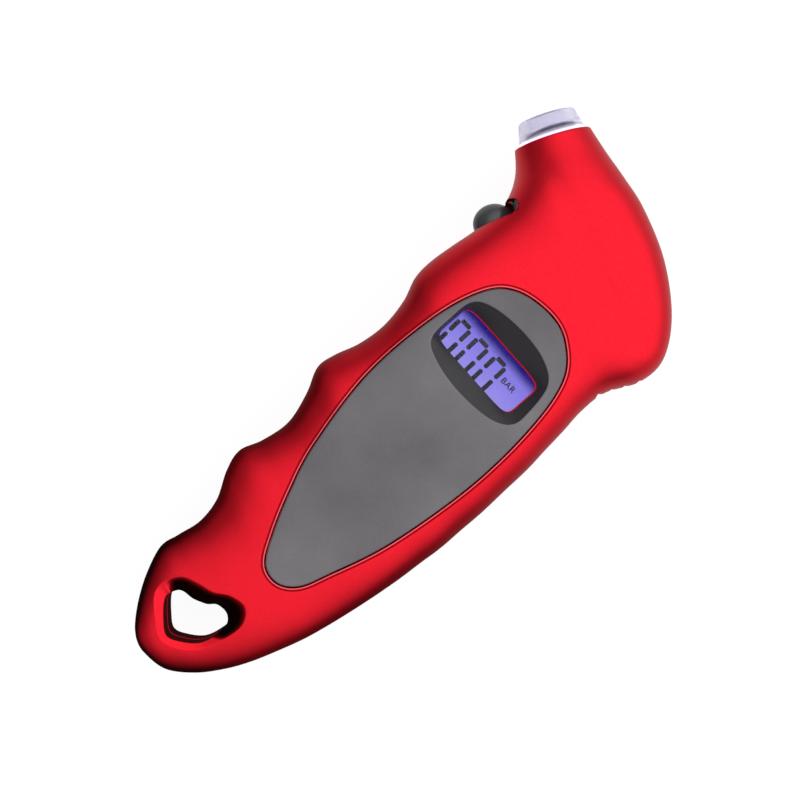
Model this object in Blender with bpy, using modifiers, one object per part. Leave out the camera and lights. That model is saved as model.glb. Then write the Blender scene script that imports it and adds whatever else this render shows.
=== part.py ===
"""Digital tyre pressure gauge: a slanting grip that ends in a barrel-shaped head with a lit nozzle.

Numbers are in millimetres and become metres when a mesh is made. The gauge lies on its back:
+X runs from the tail to the head, +Y is the way the nozzle points, +Z is up out of the display.
The origin is the middle of the back, under the centre of the whole gauge.
The grip slants, so its own parts are placed by two distances: u along it and w across it.
"""

import math

import bmesh
import bpy
from mathutils import Matrix, Vector

MM = 0.001
GAP = 0.3                      # clearance between neighbouring pieces
MID = 14.25                    # height of the parting plane and of the nozzle's axis
BACK_FLAT = MID                # how far below the parting plane the back is flat

GRIP_ANGLE = math.radians(24.5)
GRIP_ORIGIN = (23.4, -0.2)     # middle of the display
NOZZLE_X = 51.9
NOZZLE_TIP_Y = 47.65
BUTTON_X = 34.1

# Cross-sections from tail to nozzle: inner edge x, y; outer edge x, y; height of the front above
# the parting plane; depth of the back below it; squareness of front and back; front wall.
SECTIONS = (
    (-67.5, -35.2, -67.5, -36.5, 1.2, 1.2, 2.0, 2.0, 3.9),
    (-66.7, -32.0, -66.7, -39.4, 4.6, 4.6, 2.1, 2.1, 3.9),
    (-64.6, -27.6, -63.4, -44.1, 6.2, 6.2, 2.2, 2.2, 3.9),
    (-61.3, -22.7, -57.4, -46.8, 7.0, 7.0, 2.3, 2.3, 3.9),
    (-56.7, -18.0, -50.8, -47.9, 7.5, 7.5, 2.4, 2.4, 3.9),
    (-52.3, -16.7, -44.8, -48.0, 8.0, 8.2, 2.5, 2.6, 3.9),
    (-46.8, -15.2, -38.3, -47.4, 8.7, 9.2, 2.6, 2.8, 3.9),
    (-41.8, -11.7, -32.3, -46.6, 9.3, 10.4, 2.7, 3.0, 3.9),
    (-37.8, -6.2, -26.8, -45.4, 9.9, 11.7, 2.8, 3.3, 3.9),
    (-33.9, -2.9, -21.4, -44.0, 10.5, 13.0, 2.9, 3.7, 3.9),
    (-28.4, -2.2, -15.5, -42.3, 11.1, 14.4, 3.0, 4.0, 3.9),
    (-21.8, -0.1, -8.9, -40.2, 11.8, 15.1, 3.0, 4.0, 3.9),
    (-16.2, 4.7, -2.9, -38.0, 12.4, 15.2, 3.0, 4.0, 3.9),
    (-12.2, 9.5, 2.1, -36.2, 12.8, 15.2, 3.1, 4.0, 3.9),
    (-7.8, 11.0, 7.0, -34.0, 13.2, 15.2, 3.1, 4.0, 3.9),
    (-1.9, 11.8, 12.9, -31.4, 13.6, 15.2, 3.2, 4.0, 3.9),
    (4.4, 14.0, 18.9, -28.4, 13.9, 15.2, 3.2, 4.0, 3.9),
    (10.0, 17.8, 25.0, -25.4, 14.1, 15.2, 3.2, 4.0, 3.9),
    (13.9, 21.9, 30.0, -22.5, 14.2, 15.2, 3.2, 4.0, 3.9),
    (17.9, 24.2, 35.1, -19.6, 14.25, 15.2, 3.2, 4.0, 3.9),
    (23.3, 26.1, 40.1, -16.6, 14.25, 15.2, 3.2, 4.0, 3.9),
    (28.6, 27.7, 46.2, -14.3, 14.25, 15.2, 3.2, 4.0, 3.9),
    (32.5, 29.2, 54.3, -14.2, 14.25, 15.2, 3.2, 4.0, 3.9),
    (35.6, 30.6, 60.5, -11.0, 14.25, 15.2, 3.2, 4.0, 2.6),
    (38.2, 32.4, 64.9, -2.7, 14.25, 15.2, 3.1, 3.8, 2.2),
    (39.9, 34.2, 67.0, 9.4, 13.9, 14.8, 2.8, 3.3, 2.2),
    (41.0, 35.8, 66.2, 21.4, 12.9, 13.4, 2.5, 2.8, 2.2),
    (41.9, 37.6, 64.3, 29.0, 11.6, 11.8, 2.3, 2.4, 2.2),
    (42.6, 39.8, 62.1, 36.2, 10.0, 10.0, 2.1, 2.1, 2.2),
    (43.2, 42.45, 60.4, 42.45, 8.6, 8.6, 2.0, 2.0, 2.2),
)
SECTION_POINTS = 12            # steps over one half of a cross-section
SECTIONS_PER_ROW = 1.25        # lofted sections for each row of the table
SIDE_WALL = 2.0
BACK_WALL = 2.4
CAVITY_ROWS = (7.4, 27.6)

PANEL_OUTLINE = (
    (16.1, -1.2), (14.2, 6.8), (9.0, 11.6), (-2.7, 14.5), (-20.7, 14.9), (-39.5, 11.2),
    (-50.3, 7.1), (-59.1, 2.7), (-64.5, -1.1), (-65.3, -5.6), (-62.3, -9.3), (-55.9, -11.5),
    (-41.2, -15.3), (-20.3, -17.4), (-2.6, -16.5), (9.0, -13.5), (14.6, -7.6),
)
PANEL_THICK = 1.6
PANEL_SUNK = 0.1

WINDOW = (4.9, 11.5)           # half sizes along and across the grip
WINDOW_SQUARENESS = 6.0
DISH = (9.35, 13.3)
DISH_SQUARENESS = 3.0
DISH_RIM = 1.3                 # panel left standing round the dish
PANEL_BASE_Z = 18.0            # below the whole panel, above the parting plane
DISH_FLOOR_Z = 25.2
PANEL_PAD_Z = 24.9
DISPLAY_SHELF_Z = (23.4, 24.6)
APERTURE_INSET = 0.25          # the shell shows as a thin edge inside the panel's window

LENS_Z = (22.3, 23.1)
GLASS_Z = (19.9, 22.0)
LIGHT_Z = (17.8, 19.6)
BOARD_Z = (15.9, 17.5)
BOARD_U = (-22.0, 21.0)
BOARD_W = 15.0

LANYARD_HOLE = (
    (-58.4, -29.0), (-56.5, -28.0), (-54.7, -28.8), (-53.0, -31.1), (-50.6, -32.9),
    (-48.4, -33.8), (-47.0, -36.1), (-47.6, -38.4), (-50.1, -39.7), (-53.9, -40.2),
    (-57.6, -38.8), (-60.2, -36.6), (-59.8, -33.0),
)
SERRATION_RADIUS = 0.95
SERRATION_FIRST_X = 44.8
SERRATION_PITCH = 3.05
SERRATION_Y = -14.85
SERRATION_Z = (6.0, 22.5)

DOOR_AT = (-38.0, -1.0)        # u, w of the battery door
DOOR_RADIUS = 13.4
DOOR_Z = (0.3, 1.8)
PLUG_RADIUS = 11.6
LUG_RADIUS = 13.1
LUG_Z = (3.8, 5.0)
LUG_ARC = 30.0
DOOR_TURN = 40.0               # from locked to open, anticlockwise seen from above
DOOR_LUGS = 3
LEDGE_Z = (2.1, 3.5)
CELL_RADIUS = 10.0
CELL_Z = (5.6, 8.8)
CUP_RADIUS = 15.2
CUP_TOP_Z = 11.4
CUP_ROOF_Z = 10.2

BUTTON_RADIUS = 4.6
BUTTON_TOP_Y = 32.75
BUTTON_SHOULDER_Y = 28.6
BUTTON_SKIRT_Y = 25.7
BUTTON_POCKET_RADIUS = 5.3
BUTTON_POCKET_Y = (24.6, 32.2)
BUTTON_NOTCH = (               # where the crook is cut away in front of and behind the button
    (26.0, 27.9), (33.6, 28.4), (37.8, 28.75), (39.0, 29.4), (39.5, 30.6), (39.1, 31.7),
    (38.1, 32.3), (37.0, 33.5), (26.0, 33.5),
)
BUTTON_NOTCH_WALL = (          # material left in the hollow round that notch
    (24.0, 26.0), (38.2, 26.8), (41.0, 28.4), (41.5, 30.6), (41.0, 33.0), (40.0, 36.0), (24.0, 36.0),
)
BUTTON_CUP_Y = (23.0, 29.0)
STEM_RADIUS = 1.8
STEM_END_Y = 20.3

RING_BORE_RADIUS = 7.85
FITTING_RADIUS = 5.4
PIN_TIP_Y = 43.2

SCREW_HEAD_RADIUS = 2.3
SCREW_SHANK_RADIUS = 1.1
BOSS_RADIUS = 3.2

HOSE_OUTER = 2.4
HOSE_INNER = 1.5


# ---------------------------------------------------------------- frame and curves

def grip(u, w):
    """A place on the grip, u along it and w across it, as x and y."""
    cos, sin = math.cos(GRIP_ANGLE), math.sin(GRIP_ANGLE)
    return (GRIP_ORIGIN[0] + u * cos - w * sin, GRIP_ORIGIN[1] + u * sin + w * cos)


def grip_point(u, w, z):
    return (*grip(u, w), z)


def catmull(before, start, end, after, t):
    """A value between start and end on a smooth curve through four values."""
    return 0.5 * (
        2 * start
        + (end - before) * t
        + (2 * before - 5 * start + 4 * end - after) * t ** 2
        + (3 * start - before - 3 * end + after) * t ** 3
    )


def closed_spline(points, per_span):
    """A smooth closed outline through the points."""
    count = len(points)
    outline = []
    for i in range(count):
        corners = [Vector(points[(i + k) % count]) for k in (-1, 0, 1, 2)]
        outline += [tuple(catmull(*corners, step / per_span)) for step in range(per_span)]
    return outline


def open_spline(points, per_span):
    """A smooth path through the points, its two ends included."""
    ends = [points[0], *points, points[-1]]
    path = []
    for i in range(len(points) - 1):
        corners = [Vector(p) for p in ends[i:i + 4]]
        path += [tuple(catmull(*corners, step / per_span)) for step in range(per_span)]
    return [*path, tuple(points[-1])]


def grown(outline, amount):
    """An anticlockwise outline moved outwards by an amount."""
    count = len(outline)
    moved = []
    for i, (x, y) in enumerate(outline):
        ahead, behind = outline[(i + 1) % count], outline[i - 1]
        normal = Vector((ahead[1] - behind[1], behind[0] - ahead[0])).normalized()
        moved.append((x + normal.x * amount, y + normal.y * amount))
    return moved


def superellipse(half_u, half_w, squareness, count=36, centre=(0.0, 0.0)):
    """A rounded box outline on the grip, anticlockwise, as x and y."""
    outline = []
    for k in range(count):
        angle = 2 * math.pi * (k + 0.5) / count
        cos, sin = math.cos(angle), math.sin(angle)
        u = math.copysign(abs(cos) ** (2 / squareness), cos) * half_u
        w = math.copysign(abs(sin) ** (2 / squareness), sin) * half_w
        outline.append(grip(centre[0] + u, centre[1] + w))
    return outline


def panel_outline(margin=0.0):
    return grown([grip(*p) for p in closed_spline(PANEL_OUTLINE, 3)], margin)


# ---------------------------------------------------------------- scene helpers

def clear_scene():
    for thing in list(bpy.data.objects):
        bpy.data.objects.remove(thing, do_unlink=True)


def new_collection(name):
    collection = bpy.data.collections.new(name)
    bpy.context.scene.collection.children.link(collection)
    return collection


clear_scene()
PARTS = new_collection("tire_pressure_gauge")
CUTTERS = new_collection("cutters")


def material(name, color, roughness, metallic=0.0, alpha=1.0):
    made = bpy.data.materials.new(name)
    made.use_nodes = True
    shader = made.node_tree.nodes["Principled BSDF"]
    shader.inputs["Base Color"].default_value = (*color, 1.0)
    shader.inputs["Roughness"].default_value = roughness
    shader.inputs["Metallic"].default_value = metallic
    shader.inputs["Alpha"].default_value = alpha
    made.diffuse_color = (*color, alpha)
    return made


def add_object(name, mesh):
    """A mesh as a new object among the parts."""
    made = bpy.data.objects.new(name, mesh)
    PARTS.objects.link(made)
    return made


def as_cutter(thing):
    """Keeps an object out of the model, as a shape that only cuts or joins."""
    PARTS.objects.unlink(thing)
    CUTTERS.objects.link(thing)
    thing.hide_render = True
    thing.display_type = "WIRE"
    return thing


def mesh_from(name, points, faces):
    """A mesh in metres from points in millimetres, its faces pointing out."""
    mesh = bpy.data.meshes.new(name)
    shape = bmesh.new()
    corners = [shape.verts.new(Vector(p) * MM) for p in points]
    for face in faces:
        shape.faces.new([corners[i] for i in face])
    bmesh.ops.recalc_face_normals(shape, faces=shape.faces)
    shape.to_mesh(mesh)
    shape.free()
    return mesh


def smooth(thing, degrees=35.0):
    thing.data.shade_smooth()
    thing.data.set_sharp_from_angle(angle=math.radians(degrees))


def dress(thing, made):
    thing.data.materials.clear()
    thing.data.materials.append(made)
    return thing


def boolean(target, other, operation="DIFFERENCE"):
    step = target.modifiers.new(other.name, "BOOLEAN")
    step.operation = operation
    step.solver = "EXACT"
    step.object = other
    return target


def bevel(thing, width, segments=2):
    step = thing.modifiers.new("rounded edges", "BEVEL")
    step.width = width * MM
    step.segments = segments
    step.limit_method = "ANGLE"
    return thing


# ---------------------------------------------------------------- basic shapes

def prism(name, outline, low, high):
    """An upright solid with a flat outline."""
    count = len(outline)
    points = [(x, y, low) for x, y in outline] + [(x, y, high) for x, y in outline]
    sides = [(i, (i + 1) % count, count + (i + 1) % count, count + i) for i in range(count)]
    ends = [tuple(reversed(range(count))), tuple(range(count, 2 * count))]
    return add_object(name, mesh_from(name, points, sides + ends))


def loft(name, rings):
    """A solid through rings with the same number of points, closed at both ends."""
    count = len(rings[0])
    points = [p for ring in rings for p in ring]
    faces = [tuple(range(count)), tuple(range(len(points) - count, len(points)))]
    for row in range(len(rings) - 1):
        for i in range(count):
            a, b = row * count + i, row * count + (i + 1) % count
            faces.append((a, b, b + count, a + count))
    return add_object(name, mesh_from(name, points, faces))


def box(name, size, centre, turn=0.0):
    """A block by its size and centre, turned about the vertical."""
    bpy.ops.mesh.primitive_cube_add(size=1.0)
    made = bpy.context.object
    made.name = name
    made.data.transform(Matrix.Diagonal((size[0] * MM, size[1] * MM, size[2] * MM, 1.0)))
    made.location = Vector(centre) * MM
    made.rotation_euler = (0.0, 0.0, turn)
    bpy.context.collection.objects.unlink(made)
    PARTS.objects.link(made)
    return made


def grip_box(name, u_range, w_range, z_range):
    """A block square to the grip, by its ranges along, across and up."""
    size = [high - low for low, high in (u_range, w_range, z_range)]
    middle = [(high + low) / 2 for low, high in (u_range, w_range, z_range)]
    return box(name, size, grip_point(*middle), GRIP_ANGLE)


def turned(name, profile, place, along="Z", steps=32):
    """A solid turned from (radius, distance) points, which run down its outer side."""
    made = add_object(name, bpy.data.meshes.new(name))
    on_axis = profile[0][0] == 0.0
    count = len(profile)
    edges = [(i, i + 1) for i in range(count - 1)] + ([] if on_axis else [(count - 1, 0)])
    points = [Vector((radius, 0.0, distance)) * MM for radius, distance in profile]
    made.data.from_pydata(points, edges, [])
    step = made.modifiers.new("turned", "SCREW")
    step.axis = "Z"
    step.steps = step.render_steps = steps
    step.use_merge_vertices = True
    step.merge_threshold = 0.00001
    step.use_smooth_shade = True
    made.location = Vector(place) * MM
    made.rotation_euler = {"Z": (0, 0, 0), "Y": (-math.pi / 2, 0, 0)}[along]
    return made


def rod(name, radius, low, high, place, along="Z", steps=32):
    """A plain cylinder from low to high on an axis through place."""
    profile = [(0.0, high), (radius, high), (radius, low), (0.0, low)]
    return turned(name, profile, place, along, steps)


def nozzle_turned(name, profile, steps):
    """A solid turned about the nozzle's axis; distances are along Y."""
    return turned(name, profile, (NOZZLE_X, 0.0, MID), "Y", steps)


def wire(name, points, radius, made_of):
    """A thin insulated lead through a few points."""
    curve = bpy.data.curves.new(name, "CURVE")
    curve.dimensions = "3D"
    curve.bevel_depth = radius * MM
    curve.bevel_resolution = 1
    curve.use_fill_caps = True
    spline = curve.splines.new("POLY")
    path = open_spline(points, 4)
    spline.points.add(len(path) - 1)
    for slot, point in zip(spline.points, path):
        slot.co = (*(Vector(point) * MM), 1.0)
    made = bpy.data.objects.new(name, curve)
    PARTS.objects.link(made)
    curve.materials.append(made_of)
    return made


def strip(name, path, width, thickness, w_middle):
    """A bent metal strip: its path is in u and z, its width runs across the grip."""
    points = []
    for w in (w_middle - width / 2, w_middle + width / 2):
        points += [grip_point(u, w, z) for u, z in path]
    count = len(path)
    faces = [(i, i + 1, count + i + 1, count + i) for i in range(count - 1)]
    made = add_object(name, mesh_from(name, points, faces))
    step = made.modifiers.new("sheet thickness", "SOLIDIFY")
    step.thickness = thickness * MM
    step.offset = 0.0
    return made


# ---------------------------------------------------------------- the body's form

def section_at(row):
    """The cross-section at a row number, which may fall between two rows."""
    low = min(int(row), len(SECTIONS) - 2)
    rows = [SECTIONS[max(0, min(len(SECTIONS) - 1, low + k))] for k in (-1, 0, 1, 2)]
    return [catmull(*values, row - low) for values in zip(*rows)]


def section_ring(row, front, side_wall, face_drop, flat_drop):
    """Points over one half of the body, from the inner edge to the outer edge."""
    in_x, in_y, out_x, out_y, height, depth, front_square, back_square, _ = section_at(row)
    reach, square = (height, front_square) if front else (depth, back_square)
    inner, outer = Vector((in_x, in_y)), Vector((out_x, out_y))
    middle, across = (inner + outer) / 2, (outer - inner).normalized()
    half = (outer - inner).length / 2 - side_wall
    ring = []
    for k in range(SECTION_POINTS + 1):
        angle = math.pi * k / SECTION_POINTS
        cos = math.cos(angle)
        place = middle - across * math.copysign(abs(cos) ** (2 / square), cos) * half
        rise = math.sin(angle) ** (2 / square) * (reach - face_drop)
        rise = rise if front else min(rise, BACK_FLAT - flat_drop)
        rise = max(rise, GAP / 2)
        ring.append((place.x, place.y, MID + rise if front else MID - rise))
    return ring


def body_half(name, front, rows=None, side_wall=0.0, face_drop=0.0, flat_drop=0.0, panel_wall=False):
    """One half of the body's form, or a smaller copy of it that hollows it out."""
    first, last = rows or (0, len(SECTIONS) - 1)
    count = round((last - first) * SECTIONS_PER_ROW)
    rings = []
    for k in range(count + 1):
        row = first + (last - first) * k / count
        drop = section_at(row)[-1] if panel_wall else face_drop
        rings.append(section_ring(row, front, side_wall, drop, flat_drop))
    return loft(name, rings)


# ---------------------------------------------------------------- materials

RED = material("metallic_red_paint", (0.70, 0.006, 0.016), 0.34, 0.35)
GREY = material("soft_grey_plastic", (0.13, 0.125, 0.13), 0.62)
CLEAR = material("clear_plastic", (0.92, 0.94, 1.0), 0.08, alpha=0.4)
BLACK = material("black_plastic", (0.02, 0.02, 0.022), 0.3)
WHITE = material("white_plastic", (0.82, 0.82, 0.8), 0.45)
LCD = material("display_glass", (0.22, 0.21, 0.72), 0.12)
GLOW = material("backlight_guide", (0.35, 0.38, 0.95), 0.3)
BOARD = material("green_board", (0.01, 0.12, 0.04), 0.4)
RUBBER = material("dark_rubber", (0.04, 0.04, 0.045), 0.75)
SILICONE = material("silicone", (0.75, 0.75, 0.72), 0.5)
BRASS = material("brass", (0.72, 0.50, 0.20), 0.3, 1.0)
STEEL = material("steel", (0.58, 0.58, 0.60), 0.3, 1.0)
PLATED = material("plated_spring_steel", (0.70, 0.68, 0.62), 0.28, 1.0)
RED_WIRE = material("red_insulation", (0.60, 0.02, 0.02), 0.45)
BLACK_WIRE = material("black_insulation", (0.02, 0.02, 0.02), 0.45)


# ---------------------------------------------------------------- case screws

# Place on the plan, underside of the head, end of the shank.
CASE_SCREWS = (
    ((-43.5, -27.2), 7.0, 20.3),
    (grip(3.0, 19.2), 2.7, 21.5),
    (grip(-30.0, -18.6), 2.7, 20.5),
    ((57.0, -4.0), 2.7, 21.5),
)


def screw_hole(index, place, seat, end, low):
    """The stepped hole for a case screw, from below the back up into the front."""
    head, shank = SCREW_HEAD_RADIUS + GAP, SCREW_SHANK_RADIUS + GAP
    profile = [
        (0.0, end + GAP), (shank, end + GAP), (shank, seat + GAP), (head, seat + GAP),
        (head, low), (0.0, low),
    ]
    return as_cutter(turned(f"screw_hole_{index}", profile, (*place, 0.0), steps=16))


def case_screw(index, place, seat, end):
    head, shank = SCREW_HEAD_RADIUS, SCREW_SHANK_RADIUS
    profile = [
        (0.0, end), (shank * 0.5, end), (shank, end - 1.2), (shank, seat), (head, seat),
        (head, seat - 0.9), (head * 0.7, seat - 1.5), (0.0, seat - 1.5),
    ]
    return dress(turned(f"case_screw_{index}", profile, (*place, 0.0), steps=14), STEEL)


def screw_boss(index, place, low, high):
    return as_cutter(rod(f"boss_{index}_{low:.0f}", BOSS_RADIUS, low, high, (*place, 0.0), steps=16))


SCREW_HOLES = [
    screw_hole(i + 1, place, seat, end, -2.0)
    for i, (place, seat, end) in enumerate(CASE_SCREWS)
]


# ---------------------------------------------------------------- shared cutters

def lanyard_cutter():
    return as_cutter(prism("lanyard_hole", closed_spline(LANYARD_HOLE, 2), -2.0, 32.0))


def serration_cutters():
    """Four grooves across the butt of the head, where a finger rests."""
    cutters = []
    for i in range(4):
        place = (SERRATION_FIRST_X + SERRATION_PITCH * i, SERRATION_Y, 0.0)
        cutters.append(as_cutter(rod(f"serration_{i + 1}", SERRATION_RADIUS, *SERRATION_Z, place, steps=12)))
    return cutters


def button_rod(name, radius, y_range, steps=24):
    return as_cutter(rod(name, radius, *y_range, (BUTTON_X, 0.0, MID), "Y", steps))


def nozzle_rod(name, radius, y_range):
    return as_cutter(rod(name, radius, *y_range, (NOZZLE_X, 0.0, MID), "Y"))


def display_funnel():
    """The boat-shaped recess that narrows down to the display window."""
    top = superellipse(*DISH, DISH_SQUARENESS, centre=(0.0, -0.3))
    rise = (MID + 14.5 - DISH_FLOOR_Z) / (MID + 14.15 - DISH_FLOOR_Z)
    bottom = superellipse(*WINDOW, WINDOW_SQUARENESS)
    above = [(bx + (tx - bx) * rise, by + (ty - by) * rise) for (bx, by), (tx, ty) in zip(bottom, top)]
    rings = [
        [(x, y, PANEL_PAD_Z - 1.0) for x, y in bottom],
        [(x, y, DISH_FLOOR_Z) for x, y in bottom],
        [(x, y, MID + 14.5) for x, y in above],
    ]
    return as_cutter(loft("display_funnel", rings))


def dish_pad(name, margin, low):
    """The block of panel that surrounds the dish."""
    size = [half + DISH_RIM + margin for half in DISH]
    outline = superellipse(*size, DISH_SQUARENESS, centre=(0.0, -0.3))
    return as_cutter(prism(name, outline, low, 40.0))


NOZZLE_BORES = [
    nozzle_rod("light_ring_bore", RING_BORE_RADIUS, (33.0, 46.0)),
    nozzle_rod("fitting_bore", FITTING_RADIUS + GAP, (20.0, 34.0)),
]
SERRATIONS = serration_cutters()
LANYARD = lanyard_cutter()
BUTTON_POCKET = button_rod("button_pocket", BUTTON_POCKET_RADIUS, BUTTON_POCKET_Y)
NOTCH = as_cutter(prism("button_notch", BUTTON_NOTCH, -2.0, 40.0))
NOTCH_WALL = as_cutter(prism("button_notch_wall", BUTTON_NOTCH_WALL, -3.0, 41.0))
STEM_HOLE = button_rod("stem_hole", STEM_RADIUS + GAP, (20.0, 26.0), steps=16)
BUTTON_CUP = button_rod("button_cup", BUTTON_POCKET_RADIUS + 1.4, BUTTON_CUP_Y)
FITTING_RIB = as_cutter(box("fitting_rib", (19.4, 1.8, 30.0), (47.6, 23.1, MID)))


def cut_common(shell):
    """The holes that both halves share."""
    shared = [*SERRATIONS, *NOZZLE_BORES, *SCREW_HOLES, LANYARD, BUTTON_POCKET, NOTCH, STEM_HOLE]
    for cutter in shared:
        boolean(shell, cutter)


# ---------------------------------------------------------------- shells and panel

def front_shell():
    """The front half of the case, with a bed for the grey panel and a shelf over the display."""
    shell = body_half("front_shell", True)
    cavity = as_cutter(body_half("front_cavity", True, CAVITY_ROWS, SIDE_WALL, panel_wall=True))
    for i in (1, 2, 3):
        boolean(cavity, screw_boss(i + 1, CASE_SCREWS[i][0], MID - 1.0, 32.0))
    shelf_size = [half + 3.0 for half in DISH]
    shelf = prism("display_shelf", superellipse(*shelf_size, DISH_SQUARENESS), DISPLAY_SHELF_Z[0], 40.0)
    for standing in (as_cutter(shelf), BUTTON_CUP, NOTCH_WALL, FITTING_RIB):
        boolean(cavity, standing)
    bed = as_cutter(prism("panel_bed", panel_outline(GAP), PANEL_BASE_Z, 40.0))
    bed_floor = as_cutter(body_half("bed_floor", True, face_drop=PANEL_SUNK + PANEL_THICK + GAP))
    boolean(bed_floor, dish_pad("pad_bed", GAP, DISPLAY_SHELF_Z[1]))
    boolean(bed, bed_floor)
    aperture_size = [half - APERTURE_INSET for half in WINDOW]
    aperture = superellipse(*aperture_size, WINDOW_SQUARENESS)
    aperture = as_cutter(prism("display_aperture", aperture, 20.0, 30.0))
    for cutter in (cavity, bed, aperture):
        boolean(shell, cutter)
    cut_common(shell)
    return dress(shell, RED)


def face_panel():
    """The grey insert, which follows the face and dips to the display window."""
    panel = prism("face_panel", panel_outline(), PANEL_BASE_Z, 40.0)
    skin = as_cutter(body_half("panel_skin", True, face_drop=PANEL_SUNK))
    core = as_cutter(body_half("panel_core", True, face_drop=PANEL_SUNK + PANEL_THICK))
    boolean(core, dish_pad("panel_pad", 0.0, PANEL_PAD_Z))
    boolean(panel, skin, "INTERSECT")
    boolean(panel, core)
    boolean(panel, display_funnel())
    return dress(panel, GREY)


def arc_sector(name, radius, low, high, centre_deg, arc_deg, steps=6):
    """A wedge of a disc about the battery door's axis, used for lugs and their notches."""
    x, y = grip(*DOOR_AT)
    outline = [(x, y)]
    for k in range(steps + 1):
        angle = math.radians(centre_deg - arc_deg / 2 + arc_deg * k / steps)
        outline.append((x + radius * math.cos(angle), y + radius * math.sin(angle)))
    return as_cutter(prism(name, outline, low, high))


def rear_shell():
    """The back half of the case, with the battery cup and the bayonet ledge for its door."""
    shell = body_half("rear_shell", False)
    cavity = body_half("rear_cavity", False, CAVITY_ROWS, SIDE_WALL, BACK_WALL, BACK_WALL)
    cavity = as_cutter(cavity)
    for i in (1, 2, 3):
        boolean(cavity, screw_boss(i + 1, CASE_SCREWS[i][0], -2.0, MID + 1.0))
    cup_place = (*grip(*DOOR_AT), 0.0)
    cup = as_cutter(rod("battery_cup", CUP_RADIUS, -2.0, CUP_TOP_Z, cup_place, steps=32))
    for standing in (cup, BUTTON_CUP, NOTCH_WALL, FITTING_RIB):
        boolean(cavity, standing)
    boolean(shell, cavity)
    chamber = [
        (0.0, CUP_ROOF_Z), (CELL_RADIUS + 0.4, CUP_ROOF_Z), (CELL_RADIUS + 0.4, CELL_Z[0] - GAP),
        (LUG_RADIUS + 0.4, CELL_Z[0] - GAP), (LUG_RADIUS + 0.4, LEDGE_Z[1]),
        (PLUG_RADIUS + GAP, LEDGE_Z[1]), (PLUG_RADIUS + GAP, LEDGE_Z[0]),
        (DOOR_RADIUS + GAP, LEDGE_Z[0]), (DOOR_RADIUS + GAP, -2.0), (0.0, -2.0),
    ]
    boolean(shell, as_cutter(turned("battery_chamber", chamber, cup_place, steps=40)))
    for i in range(DOOR_LUGS):
        centre = 360.0 * i / DOOR_LUGS + DOOR_TURN
        notch = arc_sector(f"lug_notch_{i + 1}", LUG_RADIUS + 0.2, 1.5, 4.0, centre, LUG_ARC + 5.0)
        boolean(shell, notch)
    slots = (
        ("negative_slot", (-48.0, -46.2), (-4.0, 2.0), (9.5, 13.0)),
        ("positive_slot", (-28.3, -26.6), (-4.0, 2.0), (5.9, 13.0)),
    )
    for name, u_range, w_range, z_range in slots:
        boolean(shell, as_cutter(grip_box(name, u_range, w_range, z_range)))
    cut_common(shell)
    return dress(shell, RED)


# ---------------------------------------------------------------- battery

def battery_door():
    """A round cover with three lugs and a slot for a coin; it turns to unlock."""
    x, y = grip(*DOOR_AT)
    profile = [
        (0.0, CELL_Z[0] - GAP), (PLUG_RADIUS, CELL_Z[0] - GAP), (PLUG_RADIUS, DOOR_Z[1]),
        (DOOR_RADIUS, DOOR_Z[1]), (DOOR_RADIUS, DOOR_Z[0]), (0.0, DOOR_Z[0]),
    ]
    door = turned("battery_door", profile, (x, y, 0.0), steps=32)
    for i in range(DOOR_LUGS):
        lug = arc_sector(f"lug_{i + 1}", LUG_RADIUS, *LUG_Z, 360.0 * i / DOOR_LUGS, LUG_ARC)
        boolean(door, lug, "UNION")
    slot = as_cutter(box("coin_slot", (15.0, 2.0, 2.4), (x, y, 0.0), GRIP_ANGLE))
    boolean(door, slot)
    return dress(door, RED)


def coin_cell():
    """A CR2032 cell, its wide face towards the door."""
    low, high = CELL_Z
    profile = [
        (0.0, high), (8.7, high), (8.9, high - 0.5), (CELL_RADIUS - 0.3, high - 0.7),
        (CELL_RADIUS, high - 1.1), (CELL_RADIUS, low + 0.2), (CELL_RADIUS - 0.2, low), (0.0, low),
    ]
    return dress(turned("coin_cell", profile, (*grip(*DOOR_AT), 0.0), steps=28), STEEL)


def battery_contacts():
    """A leaf that presses on the cell's small face and a clip that touches its side."""
    leaf = [(-47.1, 13.2), (-47.1, 10.0), (-46.0, 9.65), (-38.0, 9.3), (-34.0, 9.7)]
    clip = [(-27.45, 6.4), (-27.45, 13.2)]
    dress(strip("battery_contact_negative", leaf, 4.0, 0.3, DOOR_AT[1]), PLATED)
    dress(strip("battery_contact_positive", clip, 4.0, 0.3, DOOR_AT[1]), PLATED)


# ---------------------------------------------------------------- display stack

def display_parts():
    """Everything between the window and the board."""
    dress(bevel(grip_box("display_lens", (-7.5, 7.5), (-14.0, 14.0), LENS_Z), 0.3, 1), CLEAR)
    dress(grip_box("lcd_glass", (-7.0, 7.0), (-13.5, 13.5), GLASS_Z), LCD)
    dress(grip_box("lcd_backlight", (-6.4, 7.0), (-13.5, 12.2), LIGHT_Z), GLOW)
    dress(bevel(grip_box("backlight_led", (-1.6, 1.6), (12.5, 13.6), (17.8, 19.4)), 0.15, 1), WHITE)
    dress(grip_box("lcd_connector_strip", (-7.1, -6.7), (-12.5, 12.2), LIGHT_Z), RUBBER)
    frame = grip_box("lcd_frame", (-8.6, 8.6), (-15.0, 15.0), (LIGHT_Z[0], GLASS_Z[1]))
    boolean(frame, as_cutter(grip_box("lcd_frame_room", (-7.4, 7.4), (-13.9, 13.9), (15.0, 25.0))))
    dress(frame, WHITE)


# ---------------------------------------------------------------- electronics

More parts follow.
